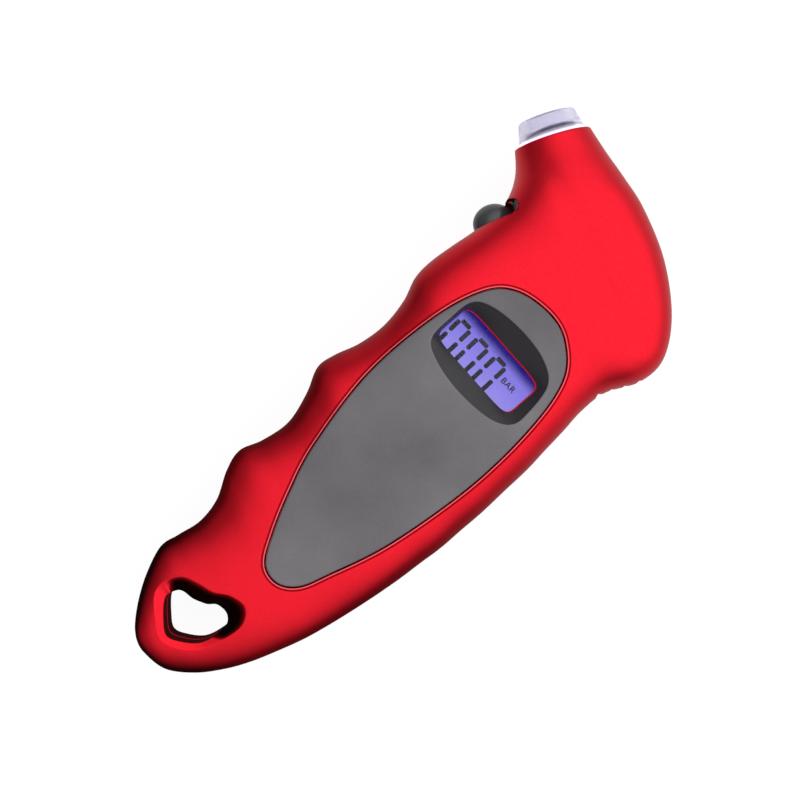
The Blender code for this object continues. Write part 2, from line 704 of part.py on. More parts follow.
def main_board():
    """The circuit board, with its far corner cut away to clear the head."""
    low, high = BOARD_U
    outline = [
        grip(low, -BOARD_W), grip(high - 7.0, -BOARD_W), grip(high, -BOARD_W + 7.0),
        grip(high, BOARD_W - 4.5), grip(high - 8.0, BOARD_W), grip(low, BOARD_W),
    ]
    return dress(prism("main_board", outline, *BOARD_Z), BOARD)


def controller_blob():
    """The drop of black resin over the bonded chip."""
    top = BOARD_Z[0] - GAP
    radius, depth = 4.2, 1.5
    profile = [(0.0, top), (radius, top)]
    for k in range(1, 5):
        angle = math.pi / 2 * k / 4
        profile.append((radius * math.cos(angle) if k < 4 else 0.0, top - depth * math.sin(angle)))
    blob = turned("controller_blob", profile, grip_point(-6.0, 3.0, 0.0), steps=20)
    return dress(blob, BLACK)


def pressure_sensor():
    """A sensor block under the board with a side port for the hose."""
    top = BOARD_Z[0] - GAP
    block = grip_box("pressure_sensor", (4.5, 11.5), (-7.5, -0.5), (top - 5.2, top))
    port_profile = [(0.0, 5.4), (1.0, 5.4), (1.25, 4.6), (1.25, -1.0), (0.0, -1.0)]
    port = turned("sensor_port", port_profile, grip_point(11.5, -4.0, 12.2), steps=12)
    port.rotation_euler = (0.0, math.pi / 2, GRIP_ANGLE)
    boolean(block, as_cutter(port), "UNION")
    return dress(block, BLACK)


def tact_switch():
    """A side-push switch under the board and the plunger that the button pushes."""
    centre_y, length, low = 16.6, 4.0, 12.3
    top = BOARD_Z[0] - GAP
    body = box("tact_switch_body", (6.2, length, top - low), (BUTTON_X, centre_y, (low + top) / 2))
    boolean(body, button_rod("plunger_hole", 1.3, (16.5, 19.5), steps=12))
    dress(body, BLACK)
    profile = [(0.0, 20.0), (0.8, 20.0), (1.0, 19.8), (1.0, 17.5), (0.0, 17.5)]
    plunger = turned("tact_switch_plunger", profile, (BUTTON_X, 0.0, MID), "Y", 12)
    dress(plunger, WHITE)


def power_button():
    """The domed button, its stem and the collar that keeps it in the case."""
    dome = BUTTON_TOP_Y - BUTTON_SHOULDER_Y
    profile = [(0.0, BUTTON_TOP_Y)]
    for k in range(1, 7):
        angle = math.pi / 2 * k / 6
        profile.append((BUTTON_RADIUS * math.sin(angle), BUTTON_SHOULDER_Y + dome * math.cos(angle)))
    collar = STEM_RADIUS + 0.9
    profile += [
        (BUTTON_RADIUS, BUTTON_SKIRT_Y), (STEM_RADIUS, BUTTON_SKIRT_Y), (STEM_RADIUS, 22.7),
        (collar, 22.7), (collar, 21.9), (STEM_RADIUS, 21.9), (STEM_RADIUS, STEM_END_Y),
        (0.0, STEM_END_Y),
    ]
    return dress(turned("power_button", profile, (BUTTON_X, 0.0, MID), "Y", 24), BLACK)


# ---------------------------------------------------------------- nozzle and air path

def nozzle_parts():
    """The clear lit ring, the rubber seal, the pin and the fitting that feeds the sensor."""
    ring = [
        (4.9, NOZZLE_TIP_Y), (5.8, NOZZLE_TIP_Y), (6.35, 47.35), (6.6, 46.75), (7.55, 42.6),
        (7.55, 31.7), (9.2, 31.7), (9.2, 29.8), (5.75, 29.8), (5.75, 44.8), (4.4, 44.8),
        (4.4, 47.15),
    ]
    dress(nozzle_turned("nozzle_light_ring", ring, 28), CLEAR)
    seal = [(4.1, 44.5), (5.45, 44.5), (5.45, 40.4), (2.1, 40.4), (2.1, 42.4), (4.1, 42.4)]
    dress(nozzle_turned("nozzle_seal", seal, 24), RUBBER)
    pin = [
        (0.0, PIN_TIP_Y), (0.5, PIN_TIP_Y - 0.1), (0.8, PIN_TIP_Y - 0.5), (0.8, 37.3),
        (1.9, 37.3), (1.9, 36.5), (0.0, 36.5),
    ]
    dress(nozzle_turned("valve_pin", pin, 12), BRASS)
    fitting = [
        (2.2, 40.1), (FITTING_RADIUS, 40.1), (FITTING_RADIUS, 23.5), (3.4, 23.5), (3.4, 21.5),
        (1.2, 21.5), (1.2, 17.4), (0.95, 16.6), (0.55, 16.6), (0.55, 36.2), (2.2, 36.2),
    ]
    dress(nozzle_turned("nozzle_fitting", fitting, 20), BRASS)


def nozzle_led():
    """A small lamp that shines into the foot of the clear ring."""
    x, top = NOZZLE_X + 7.3, 29.4
    profile = [
        (0.0, top), (0.8, top - 0.25), (1.3, top - 0.8), (1.5, top - 1.5), (1.5, top - 4.3),
        (1.75, top - 4.3), (1.75, top - 5.2), (0.0, top - 5.2),
    ]
    return dress(turned("nozzle_led", profile, (x, 0.0, MID), "Y", 16), CLEAR)


def air_hose():
    """The silicone hose from the fitting to the sensor, pushed over both ports."""
    route = [
        grip_point(12.0, -4.0, 12.2), grip_point(17.5, -4.0, 12.2), (46.6, 7.0, 12.7),
        (50.8, 11.8, 13.6), (NOZZLE_X, 16.4, MID), (NOZZLE_X, 21.2, MID),
    ]
    curve = bpy.data.curves.new("air_hose", "CURVE")
    curve.dimensions = "3D"
    curve.bevel_depth = HOSE_OUTER * MM
    curve.bevel_resolution = 3
    spline = curve.splines.new("POLY")
    path = open_spline(route, 4)
    spline.points.add(len(path) - 1)
    for slot, point in zip(spline.points, path):
        slot.co = (*(Vector(point) * MM), 1.0)
    guide = bpy.data.objects.new("air_hose_route", curve)
    PARTS.objects.link(guide)
    mesh = bpy.data.meshes.new_from_object(guide.evaluated_get(bpy.context.evaluated_depsgraph_get()))
    bpy.data.objects.remove(guide)
    hose = add_object("air_hose", mesh)
    wall = hose.modifiers.new("hose wall", "SOLIDIFY")
    wall.thickness = (HOSE_OUTER - HOSE_INNER) * MM
    wall.offset = -1.0
    return dress(hose, SILICONE)


def hose_clip(name, place, turn):
    """A round wire clip over the end of the hose."""
    wire_radius = 0.35
    bpy.ops.mesh.primitive_torus_add(
        major_segments=20, minor_segments=5,
        major_radius=(HOSE_OUTER + GAP + wire_radius + 0.05) * MM, minor_radius=wire_radius * MM,
    )
    clip = bpy.context.object
    clip.name = name
    clip.location = Vector(place) * MM
    clip.rotation_euler = turn
    bpy.context.collection.objects.unlink(clip)
    PARTS.objects.link(clip)
    return dress(clip, PLATED)


# ---------------------------------------------------------------- leads

def leads():
    """Four insulated leads: two from the battery contacts and two from the nozzle lamp."""
    radius = 0.5
    over_board = BOARD_Z[1] + GAP + radius + 0.05
    for name, made_of, start_u, side in (
        ("battery_lead_black", BLACK_WIRE, -46.2, -6.5),
        ("battery_lead_red", RED_WIRE, -26.6, 5.5),
    ):
        route = [
            grip_point(start_u, DOOR_AT[1], 12.6), grip_point(start_u + 2.5, side * 0.6, 13.4),
            grip_point(-24.5, side, 16.6), grip_point(-22.3, side, over_board + 0.4),
            grip_point(-18.0, side, over_board),
        ]
        wire(name, route, radius, made_of)
    for name, made_of, lift, side in (
        ("lamp_lead_black", BLACK_WIRE, -1.0, -1.0),
        ("lamp_lead_red", RED_WIRE, 1.0, -4.5),
    ):
        route = [
            (NOZZLE_X + 7.3, 23.8, MID + lift), (NOZZLE_X + 7.4, 19.0, MID + lift),
            (NOZZLE_X + 5.0 + lift, 8.0, MID + 2.5), grip_point(23.0, side, over_board + 0.5),
            grip_point(17.5, side, over_board),
        ]
        wire(name, route, radius, made_of)


def board_screws():
    """Two small screws that hold the board to posts of the front half."""
    for index, (u, w) in enumerate(((-19.0, 11.5), (-19.0, -11.5))):
        under = BOARD_Z[0] - GAP
        profile = [(0.0, under), (1.9, under), (1.9, under - 0.7), (1.3, under - 1.3), (0.0, under - 1.3)]
        dress(turned(f"board_screw_{index + 1}", profile, grip_point(u, w, 0.0), steps=14), STEEL)


# ---------------------------------------------------------------- assembly

def build():
    front_shell()
    rear_shell()
    face_panel()
    battery_door()
    coin_cell()
    battery_contacts()
    display_parts()
    main_board()
    controller_blob()
    pressure_sensor()
    tact_switch()
    power_button()
    nozzle_parts()
    nozzle_led()
    air_hose()
    hose_clip("hose_clip_sensor", grip_point(14.2, -4.0, 12.2), (0.0, math.pi / 2, GRIP_ANGLE))
    hose_clip("hose_clip_fitting", (NOZZLE_X, 19.6, MID), (math.pi / 2, 0.0, 0.0))
    leads()
    board_screws()
    for i, (place, seat, end) in enumerate(CASE_SCREWS):
        case_screw(i + 1, place, seat, end)
    for thing in PARTS.objects:
        if thing.type == "MESH":
            smooth(thing)


build()
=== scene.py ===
"""Digital tyre pressure gauge: the finished surfaces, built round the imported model.

Lengths are in millimetres until a mesh is made, in the model's own frame: +X runs from tail to
head, +Y is the way the nozzle points, +Z is out of the display. The grip slants, so what belongs
to it is placed by u along it and w across it.
"""

from __future__ import annotations

import logging
import math
from collections.abc import Callable, Sequence
from dataclasses import dataclass
from enum import Enum, IntEnum

import bmesh
import bpy
import numpy as np
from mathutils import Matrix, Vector
from mathutils.geometry import delaunay_2d_cdt


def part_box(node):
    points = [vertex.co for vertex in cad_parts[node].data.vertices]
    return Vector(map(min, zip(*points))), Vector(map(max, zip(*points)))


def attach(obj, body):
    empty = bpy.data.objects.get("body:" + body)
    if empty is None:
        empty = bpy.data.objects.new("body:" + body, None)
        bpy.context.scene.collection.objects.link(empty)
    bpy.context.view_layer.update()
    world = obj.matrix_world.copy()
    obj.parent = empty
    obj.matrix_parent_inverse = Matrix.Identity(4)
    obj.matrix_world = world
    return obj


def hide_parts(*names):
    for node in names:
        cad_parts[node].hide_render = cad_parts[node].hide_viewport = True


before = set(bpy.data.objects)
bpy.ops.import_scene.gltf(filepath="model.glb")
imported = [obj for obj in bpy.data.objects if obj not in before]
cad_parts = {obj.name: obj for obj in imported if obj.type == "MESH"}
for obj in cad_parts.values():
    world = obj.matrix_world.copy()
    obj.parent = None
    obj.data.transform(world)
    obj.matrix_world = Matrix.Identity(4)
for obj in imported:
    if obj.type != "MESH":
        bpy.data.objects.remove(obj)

LOG = logging.getLogger("pressure_gauge")
MM = 0.001
WELD_DISTANCE = 1e-6

Points = np.ndarray
Pair = tuple[float, float]
Colour = tuple[float, float, float]
Thing = bpy.types.Object
Material = bpy.types.Material
Node = bpy.types.Node
NodeTree = bpy.types.NodeTree
Socket = bpy.types.NodeSocket

NOZZLE_BOX = [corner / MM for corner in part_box("nozzle_light_ring")]
NOZZLE_X = (NOZZLE_BOX[0].x + NOZZLE_BOX[1].x) / 2
NOZZLE_TIP_Y = NOZZLE_BOX[1].y
MID = (NOZZLE_BOX[0].z + NOZZLE_BOX[1].z) / 2
GRIP_ANGLE = math.radians(24.5)
GRIP_ORIGIN = (23.4, -0.2)


class Half(Enum):
    """The two halves of the case, by the side of the parting plane they are on."""

    FRONT = 1.0
    BACK = -1.0


class Column(IntEnum):
    """What each number in a row of the section table is."""

    INNER_X = 0
    INNER_Y = 1
    OUTER_X = 2
    OUTER_Y = 3
    HEIGHT = 4
    DEPTH = 5
    FRONT_SQUARE = 6
    BACK_SQUARE = 7
    WALL = 8


# ---- curves and outlines


def catmull(before: Points, start: Points, end: Points, after: Points, t: Points) -> Points:
    """Values on a smooth curve through four, between the middle two.

    Args:
        before: the value ahead of the start.
        start: the value at t 0.
        end: the value at t 1.
        after: the value past the end.
        t: shares of the way from start to end.

    Returns:
        The values at t.
    """
    return 0.5 * (
        2 * start
        + (end - before) * t
        + (2 * before - 5 * start + 4 * end - after) * t**2
        + (3 * start - before - 3 * end + after) * t**3
    )


def closed_spline(corners: Sequence[Pair], per_span: int) -> Points:
    """A smooth closed outline through a few points.

    Args:
        corners: the points, anticlockwise or clockwise.
        per_span: steps between two of them.

    Returns:
        An array of x and y, one row a point.
    """
    picked = np.asarray(corners, float)
    t = np.linspace(0.0, 1.0, per_span, endpoint=False)[:, None]
    spans = []
    for i in range(len(picked)):
        four = [picked[(i + k) % len(picked)] for k in (-1, 0, 1, 2)]
        spans.append(catmull(*four, t))
    return np.concatenate(spans)


def evenly(outline: Points, count: int) -> Points:
    """A closed outline with a new number of points, the same distance apart.

    Args:
        outline: the outline.
        count: the number of points wanted.

    Returns:
        The new outline.
    """
    closed = np.vstack([outline, outline[:1]])
    along = np.concatenate([[0.0], np.cumsum(np.linalg.norm(np.diff(closed, axis=0), axis=1))])
    places = np.linspace(0.0, along[-1], count, endpoint=False)
    return np.column_stack([np.interp(places, along, closed[:, k]) for k in (0, 1)])


def grown(outline: Points, amount: float) -> Points:
    """A closed outline moved outwards.

    Args:
        outline: the outline, either way round.
        amount: the distance, negative for inwards.

    Returns:
        The moved outline.
    """
    step = np.roll(outline, -1, axis=0) - np.roll(outline, 1, axis=0)
    normal = np.column_stack([step[:, 1], -step[:, 0]])
    normal /= np.linalg.norm(normal, axis=1)[:, None]
    ahead = np.roll(outline, -1, axis=0)
    turn = np.sum(outline[:, 0] * ahead[:, 1] - ahead[:, 0] * outline[:, 1])
    return outline + normal * amount * np.sign(turn)


def on_grip(places: Points) -> Points:
    """Places on the grip, u along and w across, as x and y."""
    cos, sin = math.cos(GRIP_ANGLE), math.sin(GRIP_ANGLE)
    return np.asarray(places, float) @ np.array([[cos, sin], [-sin, cos]]) + GRIP_ORIGIN


def rounded_box(half_u: float, half_w: float, squareness: float, count: int) -> Points:
    """A superellipse on the grip about its own middle.

    Args:
        half_u: half the size along the grip.
        half_w: half the size across it.
        squareness: 2 for an ellipse, more for squarer corners.
        count: the number of points.

    Returns:
        An anticlockwise outline as u and w.
    """
    angle = 2 * math.pi * (np.arange(count) + 0.5) / count
    cos, sin = np.cos(angle), np.sin(angle)
    reach = (np.abs(cos) ** squareness + np.abs(sin) ** squareness) ** (-1 / squareness)
    return np.column_stack([cos * reach * half_u, sin * reach * half_w])


def inside(points: Points, outline: Points) -> Points:
    """Which points lie inside a closed outline.

    Args:
        points: x and y, one row a point.
        outline: the outline.

    Returns:
        True or False for each point.
    """
    ahead = np.roll(outline, -1, axis=0)
    x, y = points[:, 0:1], points[:, 1:2]
    rise = ahead[:, 1] - outline[:, 1]
    crosses = (outline[:, 1] > y) != (ahead[:, 1] > y)
    safe = np.where(rise == 0.0, 1.0, rise)
    at = outline[:, 0] + (y - outline[:, 1]) * (ahead[:, 0] - outline[:, 0]) / safe
    return np.sum(crosses & (x < at), axis=1) % 2 == 1


def distance_to(points: Points, path: Points) -> Points:
    """How far points are from an open path.

    Args:
        points: x and y, one row a point.
        path: the path's corners.

    Returns:
        A distance for each point.
    """
    start, step = path[:-1], np.diff(path, axis=0)
    offset = points[:, None] - start
    share = np.sum(offset * step, axis=2) / np.sum(step * step, axis=1)
    share = np.clip(share, 0.0, 1.0)
    nearest = start + share[..., None] * step
    return np.min(np.linalg.norm(points[:, None] - nearest, axis=2), axis=1)


# ---- meshes


class Skin:
    """Gathers points and faces in millimetres and makes one welded mesh of them."""

    def __init__(self) -> None:
        """Starts empty."""
        self.points: list[Points] = []
        self.faces: list[list[int]] = []
        self.count = 0

    def add(self, points: Points, faces: Sequence[Sequence[int]]) -> None:
        """Adds points, and faces that name them by their place in the list.

        Args:
            points: x, y and z, one row a point.
            faces: the points of each face.
        """
        start = self.count
        self.points.append(np.asarray(points, float))
        self.faces += [[start + i for i in face] for face in faces]
        self.count += len(points)

    def strips(self, rings: Sequence[Points], closed: bool = False) -> None:
        """Joins closed rings with the same number of points.

        Args:
            rings: the rings in order, each an array of x, y and z.
            closed: whether the last ring joins the first.
        """
        size = len(rings[0])
        faces = []
        for k in range(len(rings) if closed else len(rings) - 1):
            here, there = k * size, (k + 1) % len(rings) * size
            for i in range(size):
                j = (i + 1) % size
                faces.append((here + i, here + j, there + j, there + i))
        self.add(np.concatenate(rings), faces)

    def sheet(self, grid: Points) -> None:
        """Adds a grid of points, rows by columns, as quads.

        Args:
            grid: an array of rows, columns and x, y, z.
        """
        rows, columns = grid.shape[:2]
        index = np.arange(rows * columns).reshape(rows, columns)
        quads = np.stack([index[:-1, :-1], index[:-1, 1:], index[1:, 1:], index[1:, :-1]], axis=-1)
        self.add(grid.reshape(-1, 3), quads.reshape(-1, 4).tolist())

    def web(self, outer: Points, inner: Points, spacing: float, lift: Callable[[Points], Points]) -> None:
        """Fills the room between two outlines with even triangles.

        Args:
            outer: the outer outline, x and y.
            inner: the outline of the hole in it.
            spacing: the size of a triangle.
            lift: gives the height of points.
        """
        low, high = outer.min(0), outer.max(0)
        x, y = np.meshgrid(*(np.arange(low[k], high[k], spacing) for k in (0, 1)))
        y = y + np.where(np.arange(x.shape[1]) % 2, spacing / 2, 0.0)
        fill = np.column_stack([x.ravel(), y.ravel()])
        fill = fill[inside(fill, grown(outer, -spacing * 0.6))]
        fill = fill[~inside(fill, grown(inner, spacing * 0.6))]
        flat = np.concatenate([outer, inner, fill])
        edges = []
        for start, size in ((0, len(outer)), (len(outer), len(inner))):
            edges += [(start + i, start + (i + 1) % size) for i in range(size)]
        made = delaunay_2d_cdt([Vector(p) for p in flat], edges, [], 0, 1e-6)
        places = np.array([tuple(p) for p in made[0]])
        faces = np.array(made[2])
        middles = places[faces].mean(axis=1)
        kept = faces[inside(middles, outer) & ~inside(middles, inner)]
        self.add(np.column_stack([places, lift(places)]), kept.tolist())

    def mesh(self, name: str) -> bpy.types.Mesh:
        """The gathered faces as a mesh in metres, welded and pointing outwards.

        Args:
            name: the mesh's name.

        Returns:
            The mesh.
        """
        made = bpy.data.meshes.new(name)
        made.from_pydata(np.concatenate(self.points) * MM, [], self.faces)
        shape = bmesh.new()
        shape.from_mesh(made)
        bmesh.ops.remove_doubles(shape, verts=shape.verts, dist=WELD_DISTANCE)
        bmesh.ops.recalc_face_normals(shape, faces=shape.faces)
        shape.to_mesh(made)
        shape.free()
        return made


def add_object(name: str, mesh: bpy.types.Mesh) -> Thing:
    """A mesh as a new object in the scene, at the origin.

    Args:
        name: the object's name.
        mesh: its mesh.

    Returns:
        The object.
    """
    made = bpy.data.objects.new(name, mesh)
    bpy.context.scene.collection.objects.link(made)
    return made


def prism(name: str, outline: Points, low: float, high: float) -> Thing:
    """An upright solid with a flat outline.

    Args:
        name: the object's name.
        outline: x and y, one row a point.
        low: height of its foot.
        high: height of its top.

    Returns:
        The solid.
    """
    skin = Skin()
    foot, top = (np.column_stack([outline, np.full(len(outline), z)]) for z in (low, high))
    skin.strips([foot, top])
    for ring in (foot, top):
        skin.add(ring, [range(len(ring))])
    return add_object(name, skin.mesh(name))


def turned(name: str, profile: Sequence[Pair], place: Sequence[float], along: str, steps: int) -> Thing:
    """A solid turned about an axis.

    Args:
        name: the object's name.
        profile: radius and distance along the axis; a closed loop, or from axis to axis.
        place: where distance 0 is.
        along: "Y" or "Z", the axis.
        steps: facets in a turn.

    Returns:
        The solid.
    """
    angle = 2 * math.pi * np.arange(steps) / steps
    rings = []
    for radius, distance in profile:
        across, up = radius * np.cos(angle), radius * np.sin(angle)
        level = np.full(steps, distance)
        columns = (across, up, level) if along == "Z" else (across, level, up)
        rings.append(np.column_stack(columns) + np.asarray(place, float))
    skin = Skin()
    skin.strips(rings, closed=profile[0][0] > 0.0)
    return add_object(name, skin.mesh(name))


def rounded_profile(corners: Sequence[tuple[float, float, float]], steps: int = 5) -> list[Pair]:
    """A turned profile whose corners are rounded off.

    Args:
        corners: radius, distance and corner radius, in order round the profile.
        steps: points on each round.

    Returns:
        The profile's points; corner radius 0 keeps a point as it is.
    """
    profile: list[Pair] = []
    for i, (radius, distance, blend) in enumerate(corners):
        here = np.array((radius, distance))
        if blend == 0.0:
            profile.append((radius, distance))
            continue
        sides = []
        for other in (corners[i - 1], corners[(i + 1) % len(corners)]):
            step = np.array(other[:2]) - here
            sides.append(step / np.linalg.norm(step))
        half = math.acos(float(np.clip(sides[0] @ sides[1], -1.0, 1.0))) / 2
        back = blend / math.tan(half)
        middle = here + (sides[0] + sides[1]) / np.linalg.norm(sides[0] + sides[1]) * blend / math.sin(half)
        start, end = here + sides[0] * back - middle, here + sides[1] * back - middle
        for k in range(steps + 1):
            arm = start * (1 - k / steps) + end * k / steps
            point = middle + arm / np.linalg.norm(arm) * blend
            profile.append((float(point[0]), float(point[1])))
    return profile


def grip_box(name: str, u_range: Pair, w_range: Pair, z_range: Pair) -> Thing:
    """A block square to the grip, by its ranges along, across and up."""
    corners = np.array([(u_range[i], w_range[j]) for i, j in ((0, 0), (1, 0), (1, 1), (0, 1))])
    return prism(name, on_grip(corners), *z_range)


def boolean(target: Thing, cutters: Sequence[Thing], operation: str = "DIFFERENCE") -> None:
    """Cuts or joins solids, and keeps only the result.

    Args:
        target: the solid that is changed.
        cutters: the solids that change it, which are removed afterwards.
        operation: DIFFERENCE, UNION or INTERSECT.
    """
    for cutter in cutters:
        step = target.modifiers.new(cutter.name, "BOOLEAN")
        step.operation = operation
        step.solver = "MANIFOLD"
        step.object = cutter
    settle(target)
    for cutter in cutters:
        bpy.data.objects.remove(cutter)


def settle(thing: Thing) -> None:
    """Turns what an object's modifiers make into its own mesh.

    Args:
        thing: the object, whose modifiers are removed.
    """
    graph = bpy.context.evaluated_depsgraph_get()
    made = bpy.data.meshes.new_from_object(thing.evaluated_get(graph))
    thing.modifiers.clear()
    thing.data = made


def merge(target: Thing, others: Sequence[Thing]) -> None:
    """Makes several objects' meshes one object's mesh.

    Args:
        target: the object that takes the meshes.
        others: the objects that are removed.
    """
    shape = bmesh.new()
    for thing in (target, *others):
        shape.from_mesh(thing.data)
    shape.to_mesh(target.data)
    shape.free()
    for thing in others:
        bpy.data.objects.remove(thing)


def smooth(thing: Thing, degrees: float = 35.0) -> None:
    """Shades an object smooth, with an edge wherever it turns sharply."""
    thing.data.shade_smooth()
    thing.data.set_sharp_from_angle(angle=math.radians(degrees))


def finish_piece(thing: Thing, material: Material, body: str, nodes: Sequence[str]) -> Thing:
    """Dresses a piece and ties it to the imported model.

    Args:
        thing: the piece.
        material: its finish.
        body: the body it rides on.
        nodes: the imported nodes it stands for.

    Returns:
        The piece.
    """
    thing.data.materials.clear()
    thing.data.materials.append(material)
    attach(thing, body)
    if nodes:
        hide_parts(*nodes)
    LOG.info("%s: %d faces on %s", thing.name, len(thing.data.polygons), body)
    return thing


# ---- geometry nodes


def put(node: Node, **values: object) -> None:
    """Sets a node's plain values by socket name.

    Args:
        node: the node.
        values: values, with _ for a space in a name.
    """
    for title, value in values.items():
        node.inputs[title.replace("_", " ")].default_value = value


class Wiring:
    """Adds nodes to a node tree and joins them."""

    def __init__(self, tree: NodeTree) -> None:
        """Takes the tree to work on."""
        self.tree = tree

    def node(self, kind: str, **settings: object) -> Node:
        """A new node with its settings, by their names in Blender.

        Args:
            kind: the node's type.
            settings: its plain properties.

        Returns:
            The node.
        """
        made = self.tree.nodes.new(kind)
        for name, value in settings.items():
            setattr(made, name, value)
        return made

    def link(self, source: Socket, target: Socket) -> None:
        """Joins an output to an input."""
        self.tree.links.new(source, target)

    def math(self, operation: str, first: object, second: object) -> Socket:
        """A sum of two sockets or numbers.

        Args:
            operation: the Math node's operation.
            first: a socket or a number.
            second: a socket or a number.

        Returns:
            The result's socket.
        """
        made = self.node("ShaderNodeMath", operation=operation)
        for slot, value in enumerate((first, second)):
            if isinstance(value, (int, float)):
                made.inputs[slot].default_value = value
            else:
                self.link(value, made.inputs[slot])
        return made.outputs[0]


def geometry_tree(name: str, sizes: dict[str, float], extra: dict[str, str]) -> tuple[Wiring, Node]:
    """A geometry node tree with named inputs.

    Args:
        name: the tree's name.
        sizes: named numbers with their defaults.
        extra: other named inputs with their socket types.

    Returns:
        The tree's wiring and its input node.
    """
    tree = bpy.data.node_groups.new(name, "GeometryNodeTree")
    tree.interface.new_socket("Geometry", in_out="INPUT", socket_type="NodeSocketGeometry")
    for title, default in sizes.items():
        socket = tree.interface.new_socket(title, in_out="INPUT", socket_type="NodeSocketFloat")
        socket.default_value = default
    for title, kind in extra.items():
        tree.interface.new_socket(title, in_out="INPUT", socket_type=kind)
    tree.interface.new_socket("Geometry", in_out="OUTPUT", socket_type="NodeSocketGeometry")
    wiring = Wiring(tree)
    return wiring, wiring.node("NodeGroupInput")


def close_tree(wiring: Wiring, source: Socket, material: Socket) -> None:
    """Ends a tree in Realize Instances and Set Material.

    Args:
        wiring: the tree.
        source: the instances.
        material: the finish that is set.
    """
    real = wiring.node("GeometryNodeRealizeInstances")
    dress = wiring.node("GeometryNodeSetMaterial")
    out = wiring.node("NodeGroupOutput")
    wiring.link(source, real.inputs[0])
    wiring.link(real.outputs[0], dress.inputs["Geometry"])
    wiring.link(material, dress.inputs["Material"])
    wiring.link(dress.outputs[0], out.inputs[0])


def copies_tree() -> NodeTree:
    """A tree that puts a copy of an object on each point, turned and sized by the point's values.

    Returns:
        The tree.
    """
    wiring, start = geometry_tree(
        "copies_on_points", {"Size": 1.0}, {"Pattern": "NodeSocketObject", "Finish": "NodeSocketMaterial"}
    )
    pattern = wiring.node("GeometryNodeObjectInfo")
    turn = wiring.node("GeometryNodeInputNamedAttribute", data_type="FLOAT_VECTOR")
    put(turn, Name="turn")
    shape = wiring.node("GeometryNodeInputNamedAttribute", data_type="FLOAT_VECTOR")
    put(shape, Name="shape")
    scaled = wiring.node("ShaderNodeVectorMath", operation="SCALE")
    place = wiring.node("GeometryNodeInstanceOnPoints")
    wiring.link(start.outputs["Pattern"], pattern.inputs["Object"])
    wiring.link(start.outputs["Geometry"], place.inputs["Points"])
    wiring.link(pattern.outputs["Geometry"], place.inputs["Instance"])
    wiring.link(turn.outputs["Attribute"], place.inputs["Rotation"])
    wiring.link(shape.outputs["Attribute"], scaled.inputs[0])
    wiring.link(start.outputs["Size"], scaled.inputs["Scale"])
    wiring.link(scaled.outputs[0], place.inputs["Scale"])
    close_tree(wiring, place.outputs[0], start.outputs["Finish"])
    return wiring.tree


def ribs_tree() -> NodeTree:
    """A tree that stands round ribs in a row along a line.

    Returns:
        The tree.
    """
    sizes = {"Pitch": 0.0029, "Rib Radius": 0.00095, "Rib Length": 0.0165}
    wiring, start = geometry_tree("ribs_in_a_row", sizes, {"Finish": "NodeSocketMaterial"})
    line = wiring.node("GeometryNodeMeshToCurve")
    spread = wiring.node("GeometryNodeCurveToPoints", mode="LENGTH")
    rib = wiring.node("GeometryNodeMeshCylinder")
    put(rib, Vertices=24)
    place = wiring.node("GeometryNodeInstanceOnPoints")
    wiring.link(start.outputs["Geometry"], line.inputs["Mesh"])
    wiring.link(line.outputs[0], spread.inputs["Curve"])
    wiring.link(start.outputs["Pitch"], spread.inputs["Length"])
    wiring.link(start.outputs["Rib Radius"], rib.inputs["Radius"])
    wiring.link(start.outputs["Rib Length"], rib.inputs["Depth"])
    wiring.link(spread.outputs["Points"], place.inputs["Points"])
    wiring.link(rib.outputs["Mesh"], place.inputs["Instance"])
    close_tree(wiring, place.outputs[0], start.outputs["Finish"])
    return wiring.tree


def run_tree(thing: Thing, tree: NodeTree, values: dict[str, object]) -> Thing:
    """Runs a geometry tree on an object and keeps the plain mesh.

    Args:
        thing: the object whose mesh goes in.
        tree: the tree.
        values: what each named input is set to.

    Returns:
        The object, with the tree's result as its mesh.
    """
    step = thing.modifiers.new(tree.name, "NODES")
    step.node_group = tree
    for item in tree.interface.items_tree:
        if item.in_out == "INPUT" and item.name in values:
            step[item.identifier] = values[item.name]
    settle(thing)
    return thing


def copies(
    name: str,
    pattern: Thing,
    places: Points,
    turns: Points,
    shapes: Points,
    material: Material,
) -> Thing:
    """Copies of a pattern on points, as one mesh.

    Args:
        name: the new object's name.
        pattern: the object to copy, in metres about its own origin; it is removed.
        places: x, y and z of each copy.
        turns: the turn of each copy about the vertical, in radians.
        shapes: the scale of each copy along its own three axes.
        material: the copies' finish.

    Returns:
        The copies as one object.
    """
    mesh = bpy.data.meshes.new(name)
    mesh.from_pydata(np.asarray(places) * MM, [], [])
    spin = np.zeros((len(places), 3))
    spin[:, 2] = turns
    for title, values in (("turn", spin), ("shape", np.asarray(shapes, float))):
        attribute = mesh.attributes.new(title, "FLOAT_VECTOR", "POINT")
        attribute.data.foreach_set("vector", values.astype(np.float32).ravel())
    made = add_object(name, mesh)
    run_tree(made, TREES.copies, {"Pattern": pattern, "Finish": material, "Size": 1.0})
    bpy.data.objects.remove(pattern)
    return made


class Trees:
    """The geometry trees, each built once."""

    def __init__(self) -> None:
        """Builds them."""
        self.copies = copies_tree()
        self.ribs = ribs_tree()


TREES = Trees()


# ---- finishes


def linear(red: int, green: int, blue: int) -> Colour:
    """A colour given as it looks on a screen, 0 to 255, in linear light."""
    shares = [value / 255 for value in (red, green, blue)]
    return tuple(s / 12.92 if s <= 0.04045 else ((s + 0.055) / 1.055) ** 2.4 for s in shares)


